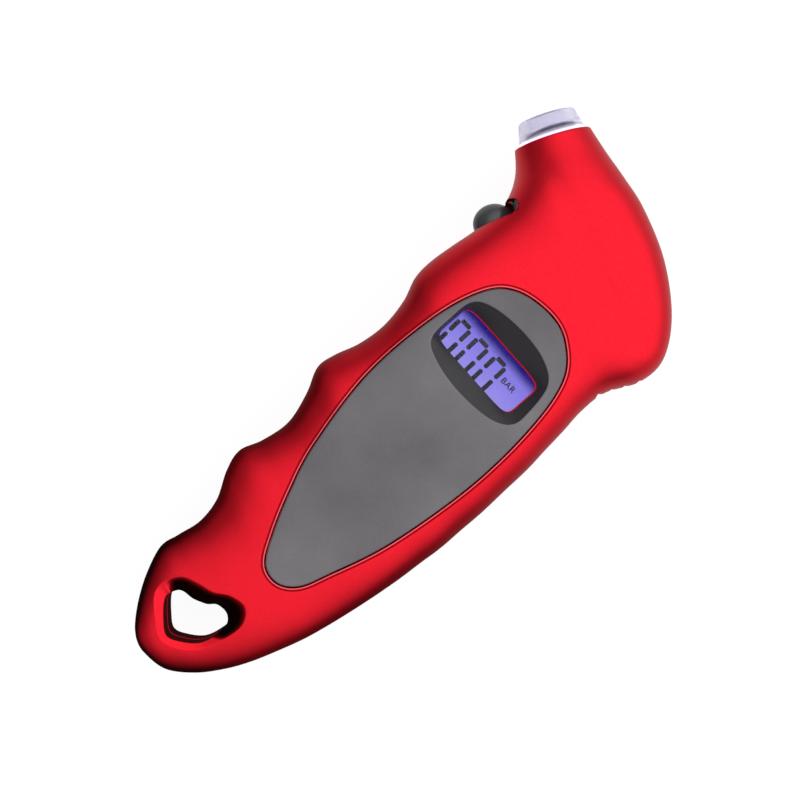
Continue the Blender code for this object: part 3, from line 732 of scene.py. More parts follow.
def shader_group(name: str, inputs: dict[str, float], outputs: Sequence[str]) -> tuple[Wiring, Node, Node]:
    """A shader node group with named numbers in and values out.

    Args:
        name: the group's name.
        inputs: named numbers with their defaults.
        outputs: the values' names.

    Returns:
        The group's wiring, its input node and its output node.
    """
    tree = bpy.data.node_groups.new(name, "ShaderNodeTree")
    for title, default in inputs.items():
        socket = tree.interface.new_socket(title, in_out="INPUT", socket_type="NodeSocketFloat")
        socket.default_value = default
    for title in outputs:
        tree.interface.new_socket(title, in_out="OUTPUT", socket_type="NodeSocketFloat")
    wiring = Wiring(tree)
    return wiring, wiring.node("NodeGroupInput"), wiring.node("NodeGroupOutput")


def grain_group() -> NodeTree:
    """Fine moulded grain with slow blotches under it, both 0 to 1.

    Returns:
        The group.
    """
    scales = {"Grain Scale": 5000.0, "Blotch Scale": 120.0}
    wiring, start, out = shader_group("moulded_grain", scales, ("Grain", "Blotch"))
    where = wiring.node("ShaderNodeTexCoord").outputs["Object"]
    for scale, title, detail in (("Grain Scale", "Grain", 2.0), ("Blotch Scale", "Blotch", 4.0)):
        noise = wiring.node("ShaderNodeTexNoise")
        put(noise, Detail=detail)
        wiring.link(where, noise.inputs["Vector"])
        wiring.link(start.outputs[scale], noise.inputs["Scale"])
        wiring.link(noise.outputs["Fac"], out.inputs[title])
    return wiring.tree


def flake_group() -> NodeTree:
    """Metallic flakes: a value for each flake, 0 to 1, and the rare ones that sparkle.

    Returns:
        The group.
    """
    settings = {"Flake Scale": 9000.0, "Sparkle Share": 0.12}
    wiring, start, out = shader_group("metal_flakes", settings, ("Flake", "Sparkle"))
    cells = wiring.node("ShaderNodeTexVoronoi")
    split = wiring.node("ShaderNodeSeparateColor")
    wiring.link(wiring.node("ShaderNodeTexCoord").outputs["Object"], cells.inputs["Vector"])
    wiring.link(start.outputs["Flake Scale"], cells.inputs["Scale"])
    wiring.link(cells.outputs["Color"], split.inputs[0])
    wiring.link(split.outputs[0], out.inputs["Flake"])
    sparkle = wiring.math("LESS_THAN", split.outputs[1], start.outputs["Sparkle Share"])
    wiring.link(sparkle, out.inputs["Sparkle"])
    return wiring.tree


def wear_group() -> NodeTree:
    """Handling wear: short fine rubs in patches, 0 where the surface is untouched.

    Returns:
        The group.
    """
    wiring, start, out = shader_group("handling_wear", {"Rub Scale": 900.0, "Patch Scale": 70.0}, ("Rubs",))
    where = wiring.node("ShaderNodeTexCoord").outputs["Object"]
    stretch = wiring.node("ShaderNodeMapping")
    put(stretch, Rotation=(0.3, 0.2, 0.9), Scale=(1.0, 0.06, 1.0))
    rubs = wiring.node("ShaderNodeTexNoise")
    patches = wiring.node("ShaderNodeTexNoise")
    wiring.link(where, stretch.inputs["Vector"])
    wiring.link(stretch.outputs[0], rubs.inputs["Vector"])
    wiring.link(where, patches.inputs["Vector"])
    wiring.link(start.outputs["Rub Scale"], rubs.inputs["Scale"])
    wiring.link(start.outputs["Patch Scale"], patches.inputs["Scale"])
    thin = wiring.math("GREATER_THAN", rubs.outputs["Fac"], 0.66)
    patch = wiring.math("GREATER_THAN", patches.outputs["Fac"], 0.56)
    wiring.link(wiring.math("MULTIPLY", thin, patch), out.inputs["Rubs"])
    return wiring.tree


class Groups:
    """The shader node groups, each built once."""

    def __init__(self) -> None:
        """Builds them."""
        self.grain = grain_group()
        self.flakes = flake_group()
        self.wear = wear_group()


GROUPS = Groups()


class Painter(Wiring):
    """Builds one material round a Principled shader."""

    def __init__(self, name: str, **plain: object) -> None:
        """Makes the material and sets the shader's plain values by socket name.

        Args:
            name: the material's name.
            plain: values, with _ for a space in a name.
        """
        self.material = bpy.data.materials.new(name)
        self.material.use_nodes = True
        super().__init__(self.material.node_tree)
        self.shader = self.tree.nodes["Principled BSDF"]
        put(self.shader, **plain)

    def group(self, tree: NodeTree, **values: float) -> Node:
        """A shared group with its own values, by socket name.

        Args:
            tree: the group.
            values: values, with _ for a space in a name.

        Returns:
            The group's node.
        """
        made = self.node("ShaderNodeGroup", node_tree=tree)
        put(made, **values)
        return made

    def colours(self, factor: Socket, low: Colour, high: Colour) -> Socket:
        """A colour between two, by a value from 0 to 1.

        Args:
            factor: the value.
            low: the colour at 0.
            high: the colour at 1.

        Returns:
            The colour.
        """
        mix = self.node("ShaderNodeMix", data_type="RGBA")
        put(mix, A=(*low, 1.0), B=(*high, 1.0))
        self.link(factor, mix.inputs["Factor"])
        return mix.outputs["Result"]

    def blend(self, factor: Socket, under: Socket, over: Colour) -> Socket:
        """A colour laid over another where the factor is 1.

        Args:
            factor: how much shows of the upper colour.
            under: the lower colour.
            over: the upper colour.

        Returns:
            The colour.
        """
        mix = self.node("ShaderNodeMix", data_type="RGBA")
        put(mix, B=(*over, 1.0))
        self.link(factor, mix.inputs["Factor"])
        self.link(under, mix.inputs["A"])
        return mix.outputs["Result"]

    def spread(self, source: Socket, low: float, high: float) -> Socket:
        """A value from 0 to 1 spread between two numbers.

        Args:
            source: the value.
            low: what 0 becomes.
            high: what 1 becomes.

        Returns:
            The new value.
        """
        made = self.node("ShaderNodeMapRange")
        put(made, To_Min=low, To_Max=high)
        self.link(source, made.inputs["Value"])
        return made.outputs["Result"]

    def feed(self, title: str, source: Socket) -> None:
        """Links a value to one of the shader's sockets."""
        self.link(source, self.shader.inputs[title])

    def bump(self, height: Socket, depth: float, strength: float) -> None:
        """Gives the shader relief from a height of 0 to 1 that is depth metres tall.

        Args:
            height: the height.
            depth: what 1 stands for.
            strength: the relief's strength.
        """
        made = self.node("ShaderNodeBump")
        put(made, Distance=depth, Strength=strength)
        self.link(height, made.inputs["Height"])
        self.feed("Normal", made.outputs["Normal"])


@dataclass(frozen=True)
class Paint:
    """Satin metallic paint: a deep ground under fine flakes.

    The point attribute "tone" paints shade into it toward -1 and a pale pink painted highlight toward 1.
    """

    name: str
    deep: Colour
    bright: Colour
    # painted shade: the near-black colour that tone toward -1 paints into recesses, flanks and gaps
    painted_shade: Colour = (0.022, 0.0005, 0.0015)
    # painted highlight: the pale pink that tone toward 1 paints on the lip round the panel
    rubbed: Colour = (1.0, 0.42, 0.48)
    metallic: float = 0.94
    roughness: float = 0.38

    def material(self) -> Material:
        """The paint as a material.

        Returns:
            The material.
        """
        painter = Painter(self.name, Metallic=self.metallic)
        grain = painter.group(GROUPS.grain, Grain_Scale=5200.0, Blotch_Scale=90.0)
        flakes = painter.group(GROUPS.flakes, Flake_Scale=8500.0, Sparkle_Share=0.06)
        wear = painter.group(GROUPS.wear, Rub_Scale=800.0, Patch_Scale=60.0)
        ground = painter.colours(painter.spread(flakes.outputs["Flake"], 0.35, 0.75), self.deep, self.bright)
        lit = painter.blend(painter.spread(flakes.outputs["Sparkle"], 0.0, 0.1), ground, (1.0, 0.16, 0.18))
        # Painted shade toward -1 and painted highlight toward 1, from the tone attribute, over the flaked
        # ground
        tone = painter.node("ShaderNodeAttribute", attribute_name="tone").outputs["Fac"]
        shaded = painter.blend(painter.math("MULTIPLY", tone, -1.0), lit, self.painted_shade)
        painter.feed("Base Color", painter.blend(tone, shaded, self.rubbed))
        satin = painter.spread(grain.outputs["Blotch"], self.roughness - 0.03, self.roughness + 0.03)
        rubbed = painter.math("SUBTRACT", satin, painter.math("MULTIPLY", wear.outputs["Rubs"], 0.03))
        painter.feed("Roughness", rubbed)
        painter.bump(grain.outputs["Grain"], 0.000012, 0.35)
        return painter.material


@dataclass(frozen=True)
class Moulded:
    """Moulded plastic, rubber or silicone with a sparked grain."""

    name: str
    dark: Colour
    light: Colour
    roughness: float
    grain_scale: float = 4200.0
    grain_depth: float = 0.00002
    grain_strength: float = 0.5
    coat: float = 0.0

    def material(self) -> Material:
        """The moulding as a material.

        Returns:
            The material.
        """
        painter = Painter(self.name, Coat_Weight=self.coat, Coat_Roughness=0.1)
        grain = painter.group(GROUPS.grain, Grain_Scale=self.grain_scale, Blotch_Scale=150.0)
        wear = painter.group(GROUPS.wear, Rub_Scale=1100.0, Patch_Scale=90.0)
        half_grain = painter.math("MULTIPLY", grain.outputs["Grain"], 0.5)
        tone = painter.math("SUBTRACT", painter.math("ADD", grain.outputs["Blotch"], half_grain), 0.25)
        painter.feed("Base Color", painter.colours(tone, self.dark, self.light))
        satin = painter.spread(grain.outputs["Grain"], self.roughness - 0.05, self.roughness + 0.06)
        rubbed = painter.math("SUBTRACT", satin, painter.math("MULTIPLY", wear.outputs["Rubs"], 0.05))
        painter.feed("Roughness", rubbed)
        painter.bump(grain.outputs["Grain"], self.grain_depth, self.grain_strength)
        return painter.material


@dataclass(frozen=True)
class PanelPlastic:
    """Soft grey plastic with a sparked grain, with painted shade on the slopes of the display's dish."""

    name: str = "soft_grey_panel"
    dark: Colour = (0.105, 0.099, 0.108)
    light: Colour = (0.215, 0.205, 0.220)
    # painted shade on the dish's slopes, where the point attribute "dish" is 1
    dish: Colour = (0.030, 0.027, 0.031)
    roughness: float = 0.44

    def material(self) -> Material:
        """The plastic as a material.

        Returns:
            The material.
        """
        painter = Painter(self.name)
        grain = painter.group(GROUPS.grain, Grain_Scale=2600.0, Blotch_Scale=32.0)
        wear = painter.group(GROUPS.wear, Rub_Scale=1100.0, Patch_Scale=90.0)
        tone = painter.math("MULTIPLY", grain.outputs["Grain"], 0.45)
        tone = painter.math("ADD", tone, painter.math("MULTIPLY", grain.outputs["Blotch"], 2.2))
        ground = painter.colours(painter.math("SUBTRACT", tone, 0.82), self.dark, self.light)
        # Painted shade on the dish's slopes.
        dish_shade = painter.node("ShaderNodeAttribute", attribute_name="dish").outputs["Fac"]
        painter.feed("Base Color", painter.blend(dish_shade, ground, self.dish))
        satin = painter.spread(grain.outputs["Grain"], self.roughness - 0.06, self.roughness + 0.06)
        rubbed = painter.math("SUBTRACT", satin, painter.math("MULTIPLY", wear.outputs["Rubs"], 0.06))
        painter.feed("Roughness", rubbed)
        painter.bump(grain.outputs["Grain"], 0.00003, 0.55)
        return painter.material


@dataclass(frozen=True)
class Clear:
    """Clear or cloudy plastic."""

    name: str
    tint: Colour
    roughness: float
    glow: Colour = (0.0, 0.0, 0.0)
    glow_strength: float = 0.0
    ior: float = 1.49
    relief: float = 0.15

    def material(self) -> Material:
        """The plastic as a material.

        Returns:
            The material.
        """
        painter = Painter(
            self.name, Transmission_Weight=1.0, IOR=self.ior, Emission_Strength=self.glow_strength
        )
        put(painter.shader, Emission_Color=(*self.glow, 1.0))
        grain = painter.group(GROUPS.grain, Grain_Scale=1500.0, Blotch_Scale=400.0)
        cloud = tuple(value * 0.94 for value in self.tint)
        ground = painter.colours(grain.outputs["Blotch"], cloud, self.tint)
        painter.feed("Base Color", ground)
        satin = painter.spread(grain.outputs["Grain"], self.roughness, self.roughness + 0.05)
        painter.feed("Roughness", satin)
        painter.bump(grain.outputs["Grain"], 0.00001, self.relief)
        return painter.material


@dataclass(frozen=True)
class LitRing:
    """Milky clear plastic lit from below, brightest where it leaves the case."""

    name: str = "frosted_light_ring"
    tint: Colour = (0.77, 0.755, 0.86)
    glow: Colour = linear(232, 228, 255)
    shadow: Colour = linear(112, 106, 132)
    shadow_height: float = 1.5
    shadow_half_width: float = 7.2
    shadow_fade: Pair = (0.4, 0.5)
    dim: float = 0.7
    full: float = 5.0
    bright_from: float = 43.4
    bright_to: float = 42.9

    def material(self) -> Material:
        """The ring as a material.

        Returns:
            The material.
        """
        painter = Painter(self.name, Transmission_Weight=0.72, IOR=1.3, Emission_Strength=0.12)
        grain = painter.group(GROUPS.grain, Grain_Scale=1500.0, Blotch_Scale=420.0)
        cloud = tuple(value * 0.9 for value in self.tint)
        painter.feed("Roughness", painter.spread(grain.outputs["Grain"], 0.1, 0.2))
        parts = painter.node("ShaderNodeSeparateXYZ")
        painter.link(painter.node("ShaderNodeTexCoord").outputs["Object"], parts.inputs[0])
        foot = painter.node("ShaderNodeMapRange", interpolation_type="SMOOTHSTEP")
        put(foot, From_Min=self.bright_from * MM, From_Max=self.bright_to * MM)
        painter.link(parts.outputs[1], foot.inputs["Value"])
        fade_up, fade_down = (1 / (width * MM) for width in self.shadow_fade)
        from_middle = painter.math("SUBTRACT", parts.outputs[0], NOZZLE_X * MM)
        across = painter.math("MULTIPLY", from_middle, 1 / (self.shadow_half_width * MM))
        lens = painter.math("SUBTRACT", 1.0, painter.math("MULTIPLY", across, across))
        rise = painter.math("MULTIPLY", lens, self.shadow_height * MM)
        top = painter.math("ADD", rise, self.bright_from * MM)
        under = painter.math("MULTIPLY", painter.math("SUBTRACT", top, parts.outputs[1]), fade_down)
        from_foot = painter.math("SUBTRACT", parts.outputs[1], self.bright_from * MM)
        above = painter.math("MULTIPLY", from_foot, fade_up)
        band = painter.math("MINIMUM", under, above)
        mottled = painter.math("MULTIPLY", band, painter.spread(grain.outputs["Blotch"], 0.1, 1.35))
        ground = painter.colours(grain.outputs["Blotch"], cloud, self.tint)
        painter.feed("Base Color", painter.blend(mottled, ground, self.shadow))
        dim, full = (tuple(value * level for value in self.glow) for level in (self.dim, self.full))
        glow = painter.colours(foot.outputs["Result"], dim, full)
        painter.feed("Emission Color", painter.blend(mottled, glow, self.shadow))
        painter.bump(grain.outputs["Grain"], 0.00001, 0.15)
        return painter.material


@dataclass(frozen=True)
class Metal:
    """Bare or plated metal with fine rubs."""

    name: str
    tone: Colour
    roughness: float

    def material(self) -> Material:
        """The metal as a material.

        Returns:
            The material.
        """
        painter = Painter(self.name, Metallic=1.0)
        grain = painter.group(GROUPS.grain, Grain_Scale=3000.0, Blotch_Scale=300.0)
        wear = painter.group(GROUPS.wear, Rub_Scale=2500.0, Patch_Scale=400.0)
        dull = tuple(value * 0.8 for value in self.tone)
        ground = painter.colours(grain.outputs["Blotch"], dull, self.tone)
        painter.feed("Base Color", ground)
        satin = painter.spread(grain.outputs["Blotch"], self.roughness - 0.05, self.roughness + 0.1)
        rubbed = painter.math("ADD", satin, painter.math("MULTIPLY", wear.outputs["Rubs"], 0.12))
        painter.feed("Roughness", rubbed)
        painter.bump(grain.outputs["Grain"], 0.000005, 0.3)
        return painter.material


@dataclass(frozen=True)
class LitDisplay:
    """The lit liquid crystal: even violet light that falls to deep blue at the head-side edge."""

    name: str = "lit_display"
    middle: Colour = linear(133, 122, 222)
    pale: Colour = linear(156, 146, 232)
    edge: Colour = linear(26, 10, 112)
    fade: Pair = (1.5, 4.4)
    start_fade: Pair = (10.2, 12.6)
    brightening: Pair = (1.0, -6.0)

    def material(self) -> Material:
        """The display as a material.

        Returns:
            The material.
        """
        painter = Painter(self.name, Roughness=0.3, Specular_IOR_Level=0.05, Emission_Strength=1.0)
        put(painter.shader, Base_Color=(0.02, 0.02, 0.06, 1.0))
        turn = painter.node("ShaderNodeMapping")
        put(turn, Rotation=(0.0, 0.0, -GRIP_ANGLE))
        cos, sin = math.cos(GRIP_ANGLE), math.sin(GRIP_ANGLE)
        x, y = (value * MM for value in GRIP_ORIGIN)
        put(turn, Location=(-(x * cos + y * sin), x * sin - y * cos, 0.0))
        painter.link(painter.node("ShaderNodeTexCoord").outputs["Object"], turn.inputs["Vector"])
        parts = painter.node("ShaderNodeSeparateXYZ")
        painter.link(turn.outputs[0], parts.inputs[0])
        masks = []
        for axis, low, high in ((0, *self.fade), (1, *self.start_fade)):
            fall = painter.node("ShaderNodeMapRange", interpolation_type="SMOOTHSTEP")
            put(fall, From_Min=low * MM, From_Max=high * MM)
            painter.link(parts.outputs[axis], fall.inputs["Value"])
            masks.append(fall.outputs["Result"])
        low_side = painter.node("ShaderNodeMapRange")
        put(low_side, From_Min=self.brightening[0] * MM, From_Max=self.brightening[1] * MM)
        painter.link(parts.outputs[0], low_side.inputs["Value"])
        ground = painter.colours(low_side.outputs["Result"], self.middle, self.pale)
        shade = painter.math("MAXIMUM", masks[0], painter.math("MULTIPLY", masks[1], 0.7))
        grain = painter.group(GROUPS.grain, Grain_Scale=2500.0, Blotch_Scale=260.0)
        uneven = painter.math("MULTIPLY", painter.math("SUBTRACT", grain.outputs["Blotch"], 0.5), 0.2)
        lit = painter.blend(painter.math("ADD", shade, uneven), ground, self.edge)
        painter.feed("Emission Color", lit)
        return painter.material


@dataclass(frozen=True)
class CircuitBoard:
    """Solder mask over copper tracks."""

    name: str = "circuit_board"
    mask: Colour = (0.008, 0.09, 0.03)
    track: Colour = (0.015, 0.16, 0.05)

    def material(self) -> Material:
        """The board as a material.

        Returns:
            The material.
        """
        painter = Painter(self.name, Coat_Weight=0.3, Coat_Roughness=0.1)
        tracks = painter.node("ShaderNodeTexBrick")
        put(tracks, Scale=420.0, Mortar_Size=0.06)
        painter.link(painter.node("ShaderNodeTexCoord").outputs["Object"], tracks.inputs["Vector"])
        grain = painter.group(GROUPS.grain, Grain_Scale=2500.0, Blotch_Scale=200.0)
        ground = painter.colours(tracks.outputs["Fac"], self.mask, self.track)
        painter.feed("Base Color", ground)
        painter.feed("Roughness", painter.spread(grain.outputs["Blotch"], 0.3, 0.45))
        painter.bump(tracks.outputs["Fac"], 0.00003, 0.6)
        return painter.material


class Finishes:
    """Every finish of the gauge, made once."""

    def __init__(self) -> None:
        """Builds the materials."""
        self.red = Paint("satin_red_paint", (0.82, 0.008, 0.018), (0.98, 0.018, 0.04)).material()
        self.grey = PanelPlastic().material()
        self.button = Moulded(
            "button_black", (0.045, 0.045, 0.05), (0.07, 0.07, 0.076), 0.3, coat=0.5
        ).material()
        self.black = Moulded("black_moulding", (0.015, 0.015, 0.016), (0.03, 0.03, 0.032), 0.4).material()
        self.white = Moulded("white_moulding", (0.72, 0.72, 0.7), (0.85, 0.85, 0.83), 0.45).material()
        self.rubber = Moulded("nozzle_rubber", (0.03, 0.028, 0.035), (0.06, 0.056, 0.068), 0.7).material()
        self.silicone = Moulded("silicone_hose", (0.62, 0.62, 0.58), (0.78, 0.78, 0.74), 0.5).material()
        self.ink = Moulded("display_ink", (0.004, 0.004, 0.012), (0.010, 0.010, 0.026), 0.35).material()
        self.red_wire = Moulded(
            "red_lead_insulation", (0.42, 0.012, 0.012), (0.6, 0.02, 0.02), 0.4
        ).material()
        self.black_wire = Moulded(
            "black_lead_insulation", (0.012, 0.012, 0.012), (0.03, 0.03, 0.03), 0.4
        ).material()
        self.ring = LitRing().material()
        self.lens = Clear("clear_lens", (0.98, 0.98, 1.0), 0.01, ior=1.03, relief=0.01).material()
        self.guide = Clear("backlight_guide", (0.6, 0.62, 1.0), 0.3, linear(120, 110, 255), 1.2).material()
        self.brass = Metal("turned_brass", (0.78, 0.56, 0.24), 0.24).material()
        self.steel = Metal("zinc_plated_steel", (0.62, 0.62, 0.64), 0.26).material()
        self.spring = Metal("nickel_spring_steel", (0.72, 0.70, 0.64), 0.22).material()
        self.display = LitDisplay().material()
        self.board = CircuitBoard().material()


# ---- the body's form


@dataclass(frozen=True)
class BodyForm:
    """The gauge's outer form: rounded cross-sections between an inner and an outer edge."""

    rows: tuple[tuple[float, ...], ...] = (
        (-67.5, -35.2, -67.5, -36.5, 1.2, 1.2, 2.0, 2.0, 3.9),
        (-66.7, -32.0, -66.7, -39.4, 4.6, 4.6, 2.1, 2.1, 3.9),
        (-64.6, -27.6, -63.4, -44.1, 6.2, 6.2, 2.2, 2.2, 3.9),
        (-61.3, -22.7, -57.4, -46.8, 7.0, 7.0, 2.3, 2.3, 3.9),
        (-56.7, -18.0, -50.8, -47.9, 7.5, 7.5, 2.4, 2.4, 3.9),
        (-52.3, -16.7, -44.8, -48.0, 8.0, 8.2, 2.5, 2.6, 3.9),
        (-46.8, -15.2, -38.3, -47.4, 8.7, 9.2, 2.6, 2.8, 3.9),
        (-41.8, -11.7, -32.3, -46.6, 9.3, 10.4, 2.7, 3.0, 3.9),
        (-37.8, -6.2, -26.8, -45.4, 9.9, 11.7, 2.8, 3.3, 3.9),
        (-33.9, -2.9, -21.4, -44.0, 10.5, 13.0, 2.9, 3.7, 3.9),
        (-28.4, -2.2, -15.5, -42.3, 11.1, 14.4, 3.0, 4.0, 3.9),
        (-21.8, -0.1, -8.9, -40.2, 11.8, 15.1, 3.0, 4.0, 3.9),
        (-16.2, 4.7, -2.9, -38.0, 12.4, 15.2, 3.0, 4.0, 3.9),
        (-12.2, 9.5, 2.1, -36.2, 12.8, 15.2, 3.1, 4.0, 3.9),
        (-7.8, 11.0, 7.0, -34.0, 13.2, 15.2, 3.1, 4.0, 3.9),
        (-1.9, 11.8, 12.9, -31.4, 13.6, 15.2, 3.2, 4.0, 3.9),
        (4.4, 14.0, 18.9, -28.4, 13.9, 15.2, 3.2, 4.0, 3.9),
        (10.0, 17.8, 25.0, -25.4, 14.1, 15.2, 3.2, 4.0, 3.9),
        (13.9, 21.9, 30.0, -22.5, 14.2, 15.2, 3.2, 4.0, 3.9),
        (17.9, 24.2, 35.1, -19.6, 14.25, 15.2, 3.2, 4.0, 3.9),
        (23.3, 26.1, 40.1, -16.6, 14.25, 15.2, 3.2, 4.0, 3.9),
        (28.6, 27.7, 46.2, -14.3, 14.25, 15.2, 3.2, 4.0, 3.9),
        (32.5, 29.2, 54.3, -14.2, 14.25, 15.2, 3.2, 4.0, 3.9),
        (35.6, 30.6, 60.5, -11.0, 14.25, 15.2, 3.2, 4.0, 2.6),
        (38.2, 32.4, 64.9, -2.7, 14.25, 15.2, 3.1, 3.8, 2.2),
        (39.9, 34.2, 67.0, 9.4, 13.9, 14.8, 2.8, 3.3, 2.2),
        (41.0, 35.8, 66.2, 21.4, 12.9, 13.4, 2.5, 2.8, 2.2),
        (41.9, 37.6, 64.3, 29.0, 11.6, 11.8, 2.3, 2.4, 2.2),
        (42.6, 39.8, 62.1, 36.2, 10.0, 10.0, 2.1, 2.1, 2.2),
        (43.2, 42.45, 60.4, 42.45, 8.6, 8.6, 2.0, 2.0, 2.2),
    )
    valley: tuple[Pair, ...] = (
        (47.4, 34.0), (49.6, 27.0), (50.8, 15.0), (51.4, 7.0), (53.2, 0.0), (56.0, -4.5),
    )
    valley_depth: float = 0.32
    valley_width: float = 2.4
    flat_blend: float = 1.6
    parting_gap: float = 0.01
    parting_edge: float = 0.22
    rim_round: float = 0.5
    rim_row_height: float = 4.45

    @property
    def last(self) -> int:
        """The number of the last row."""
        return len(self.rows) - 1

    def at(self, rows: Points) -> Points:
        """The table's values at row numbers that may fall between rows.

        Args:
            rows: row numbers.

        Returns:
            One row of values for each.
        """
        table = np.array(self.rows)
        low = np.clip(np.floor(rows).astype(int), 0, self.last - 1)
        four = [table[np.clip(low + k, 0, self.last)] for k in (-1, 0, 1, 2)]
        return catmull(*four, (rows - low)[:, None])

    def plan(self, rows: Points, across: Points) -> Points:
        """Where a place lies in plan, by its row and its share from the middle, -1 to 1.

        Args:
            rows: row numbers.
            across: shares from the middle.

        Returns:
            x and y of each place.
        """
        table = self.at(rows)
        inner, outer = table[:, Column.INNER_X:Column.OUTER_X], table[:, Column.OUTER_X:Column.HEIGHT]
        return (inner + outer) / 2 + (outer - inner) / 2 * across[:, None]

    def locate(self, points: Points) -> tuple[Points, Points]:
        """The row and the share from the middle of places in plan.

        Args:
            points: x and y, one row a point.

        Returns:
            The row numbers and the shares.
        """
        rows, shares = np.meshgrid(np.linspace(0.0, self.last, 146), np.linspace(-1.0, 1.0, 21))
        samples = self.plan(rows.ravel(), shares.ravel())
        nearest = [int(np.argmin(np.sum((samples - point) ** 2, axis=1))) for point in points]
        row, share = rows.ravel()[nearest], shares.ravel()[nearest]
        step = 1e-4
        for _ in range(8):
            here = self.plan(row, share)
            by_row = (self.plan(row + step, share) - here) / step
            by_share = (self.plan(row, share + step) - here) / step
            miss = points - here
            area = by_row[:, 0] * by_share[:, 1] - by_row[:, 1] * by_share[:, 0]
            row = row + (miss[:, 0] * by_share[:, 1] - miss[:, 1] * by_share[:, 0]) / area
            share = share + (by_row[:, 0] * miss[:, 1] - by_row[:, 1] * miss[:, 0]) / area
            row, share = np.clip(row, 0.0, self.last - 1e-6), np.clip(share, -1.0, 1.0)
        return row, share

    def relief(self, points: Points) -> Points:
        """How far the front dips in the soft valley between the grip and the barrel.

        Args:
            points: x and y, one row a point.

        Returns:
            Changes of height.
        """
        valley = np.array(self.valley)
        along = closed_spline(self.valley, 8)[: (len(valley) - 1) * 8 + 1]
        return -self.valley_depth * np.exp(-((distance_to(points, along) / self.valley_width) ** 2))

    def height(self, points: Points, half: Half = Half.FRONT) -> Points:
        """The height of the body's surface over places in plan.

        Args:
            points: x and y, one row a point.
            half: which half of the body.

        Returns:
            Heights above the floor.
        """
        row, share = self.locate(points)
        table = self.at(row)
        if half is Half.FRONT:
            square, reach = table[:, Column.FRONT_SQUARE], table[:, Column.HEIGHT]
        else:
            square, reach = table[:, Column.BACK_SQUARE], table[:, Column.DEPTH]
        rise = reach * np.clip(1 - np.abs(share) ** square, 0.0, 1.0) ** (1 / square)
        if half is Half.FRONT:
            return MID + rise + self.relief(points)
        return MID - self.flattened(rise, MID)

    def flattened(self, rise: Points, limit: float) -> Points:
        """Depths that run smoothly into the flat of the back."""
        share = np.clip(0.5 + 0.5 * (limit - rise) / self.flat_blend, 0.0, 1.0)
        return limit + (rise - limit) * share - self.flat_blend * share * (1 - share)

    def sections(
        self,
        half: Half,
        rows: Points,
        angles: Points,
        inset: Points | float = 0.0,
        drop: Points | float = 0.0,
    ) -> Points:
        """Cross-sections as a grid of points, from the inner edge to the outer edge.

        Args:
            half: which half of the body.
            rows: row numbers.
            angles: places round a section, 0 at the inner edge and pi at the outer.
            inset: how far the sides move in, one number or one for each row.
            drop: how far the face moves in, one number or one for each row.

        Returns:
            An array of rows, angles and x, y, z, where z is the distance from the parting plane.
        """
        table = self.at(rows)
        inner, outer = table[:, Column.INNER_X:Column.OUTER_X], table[:, Column.OUTER_X:Column.HEIGHT]
        width = np.linalg.norm(outer - inner, axis=1)
        across = (outer - inner) / width[:, None]
        front = half is Half.FRONT
        square = table[:, Column.FRONT_SQUARE if front else Column.BACK_SQUARE][:, None]
        reach = table[:, Column.HEIGHT if front else Column.DEPTH] - drop
        cos, sin = np.cos(angles), np.abs(np.sin(angles))
        radius = (np.abs(cos) ** square + sin**square) ** (-1 / square)
        side = cos * radius * (width / 2 - inset)[:, None]
        place = ((inner + outer) / 2)[:, None] - across[:, None] * side[..., None]
        rise = sin * radius * reach[:, None]
        return np.dstack([place, rise])

    def solid(self, name: str, half: Half, columns: int, stations: int) -> Thing:
        """One half of the body as a fine solid, with its parting edge and its rim rounded.

        Args:
            name: the object's name.
            half: which half.
            columns: steps round a section.
            stations: sections for each row of the table.

        Returns:
            The solid.
        """
        tail = np.linspace(0.0, 2.0, 2 * stations + 9)[:-1]
        turn = np.radians(np.arange(0, 91, 15))
        span = self.rim_round / self.rim_row_height
        rim = self.last - span * (1 - np.sin(turn))
        body = np.linspace(2.0, self.last - span, (self.last - 2) * stations)[:-1]
        rows = np.concatenate([tail, body, rim])
        inset = np.zeros(len(rows))
        inset[-len(rim):] = self.rim_round * (1 - np.cos(turn))
        angles = np.linspace(0.0, math.pi, columns + 1)
        grid = self.sections(half, rows, angles, inset, inset)
        flat = grid.reshape(-1, 3)
        if half is Half.FRONT:
            flat[:, 2] += self.relief(flat[:, :2]) * np.clip(flat[:, 2] / 6.0, 0.0, 1.0)
        else:
            flat[:, 2] = self.flattened(flat[:, 2], MID)
        grid[..., 2] = np.maximum(grid[..., 2], self.parting_gap / 2 + self.parting_edge)
        edge = self.sections(half, rows, angles[[0, -1]], inset + self.parting_edge, inset)
        edge[..., 2] = self.parting_gap / 2
        grid = np.concatenate([edge[:, :1], grid, edge[:, 1:]], axis=1)
        grid[..., 2] = MID + half.value * grid[..., 2]
        return self.closed(name, grid)

    def core(
        self, name: str, half: Half, rows: Pair, side: float, face: Points | float, flat: float
    ) -> Thing:
        """A smaller copy of one half, which hollows it out.

        Args:
            name: the object's name.
            half: which half.
            rows: its first and last row.
            side: how far its sides are inside the body's.
            face: how far its face is inside the body's, or None for the table's walls.
            flat: how far it stops above the flat of the back.

        Returns:
            The solid, which reaches a little past the parting plane.
        """
        numbers = np.linspace(*rows, 60)
        drop = self.at(numbers)[:, Column.WALL] if face is None else face
        grid = self.sections(half, numbers, np.linspace(0.0, math.pi, 31), side, drop)
        if half is Half.BACK:
            grid[..., 2] = np.minimum(grid[..., 2], MID - flat)
        grid[:, [0, -1], 2] = -1.0
        grid[..., 2] = MID + half.value * grid[..., 2]
        return self.closed(name, grid)

    def closed(self, name: str, grid: Points) -> Thing:
        """A grid of sections as a solid, with its ends and its parting face closed.

        Args:
            name: the object's name.
            grid: rows, angles and x, y, z.

        Returns:
            The solid.
        """
        skin = Skin()
        skin.sheet(grid)
        skin.sheet(grid[:, [-1, 0]])
        for end in (grid[0], grid[-1]):
            skin.add(end, [range(len(end))])
        return add_object(name, skin.mesh(name))


FORM = BodyForm()


# ---- case


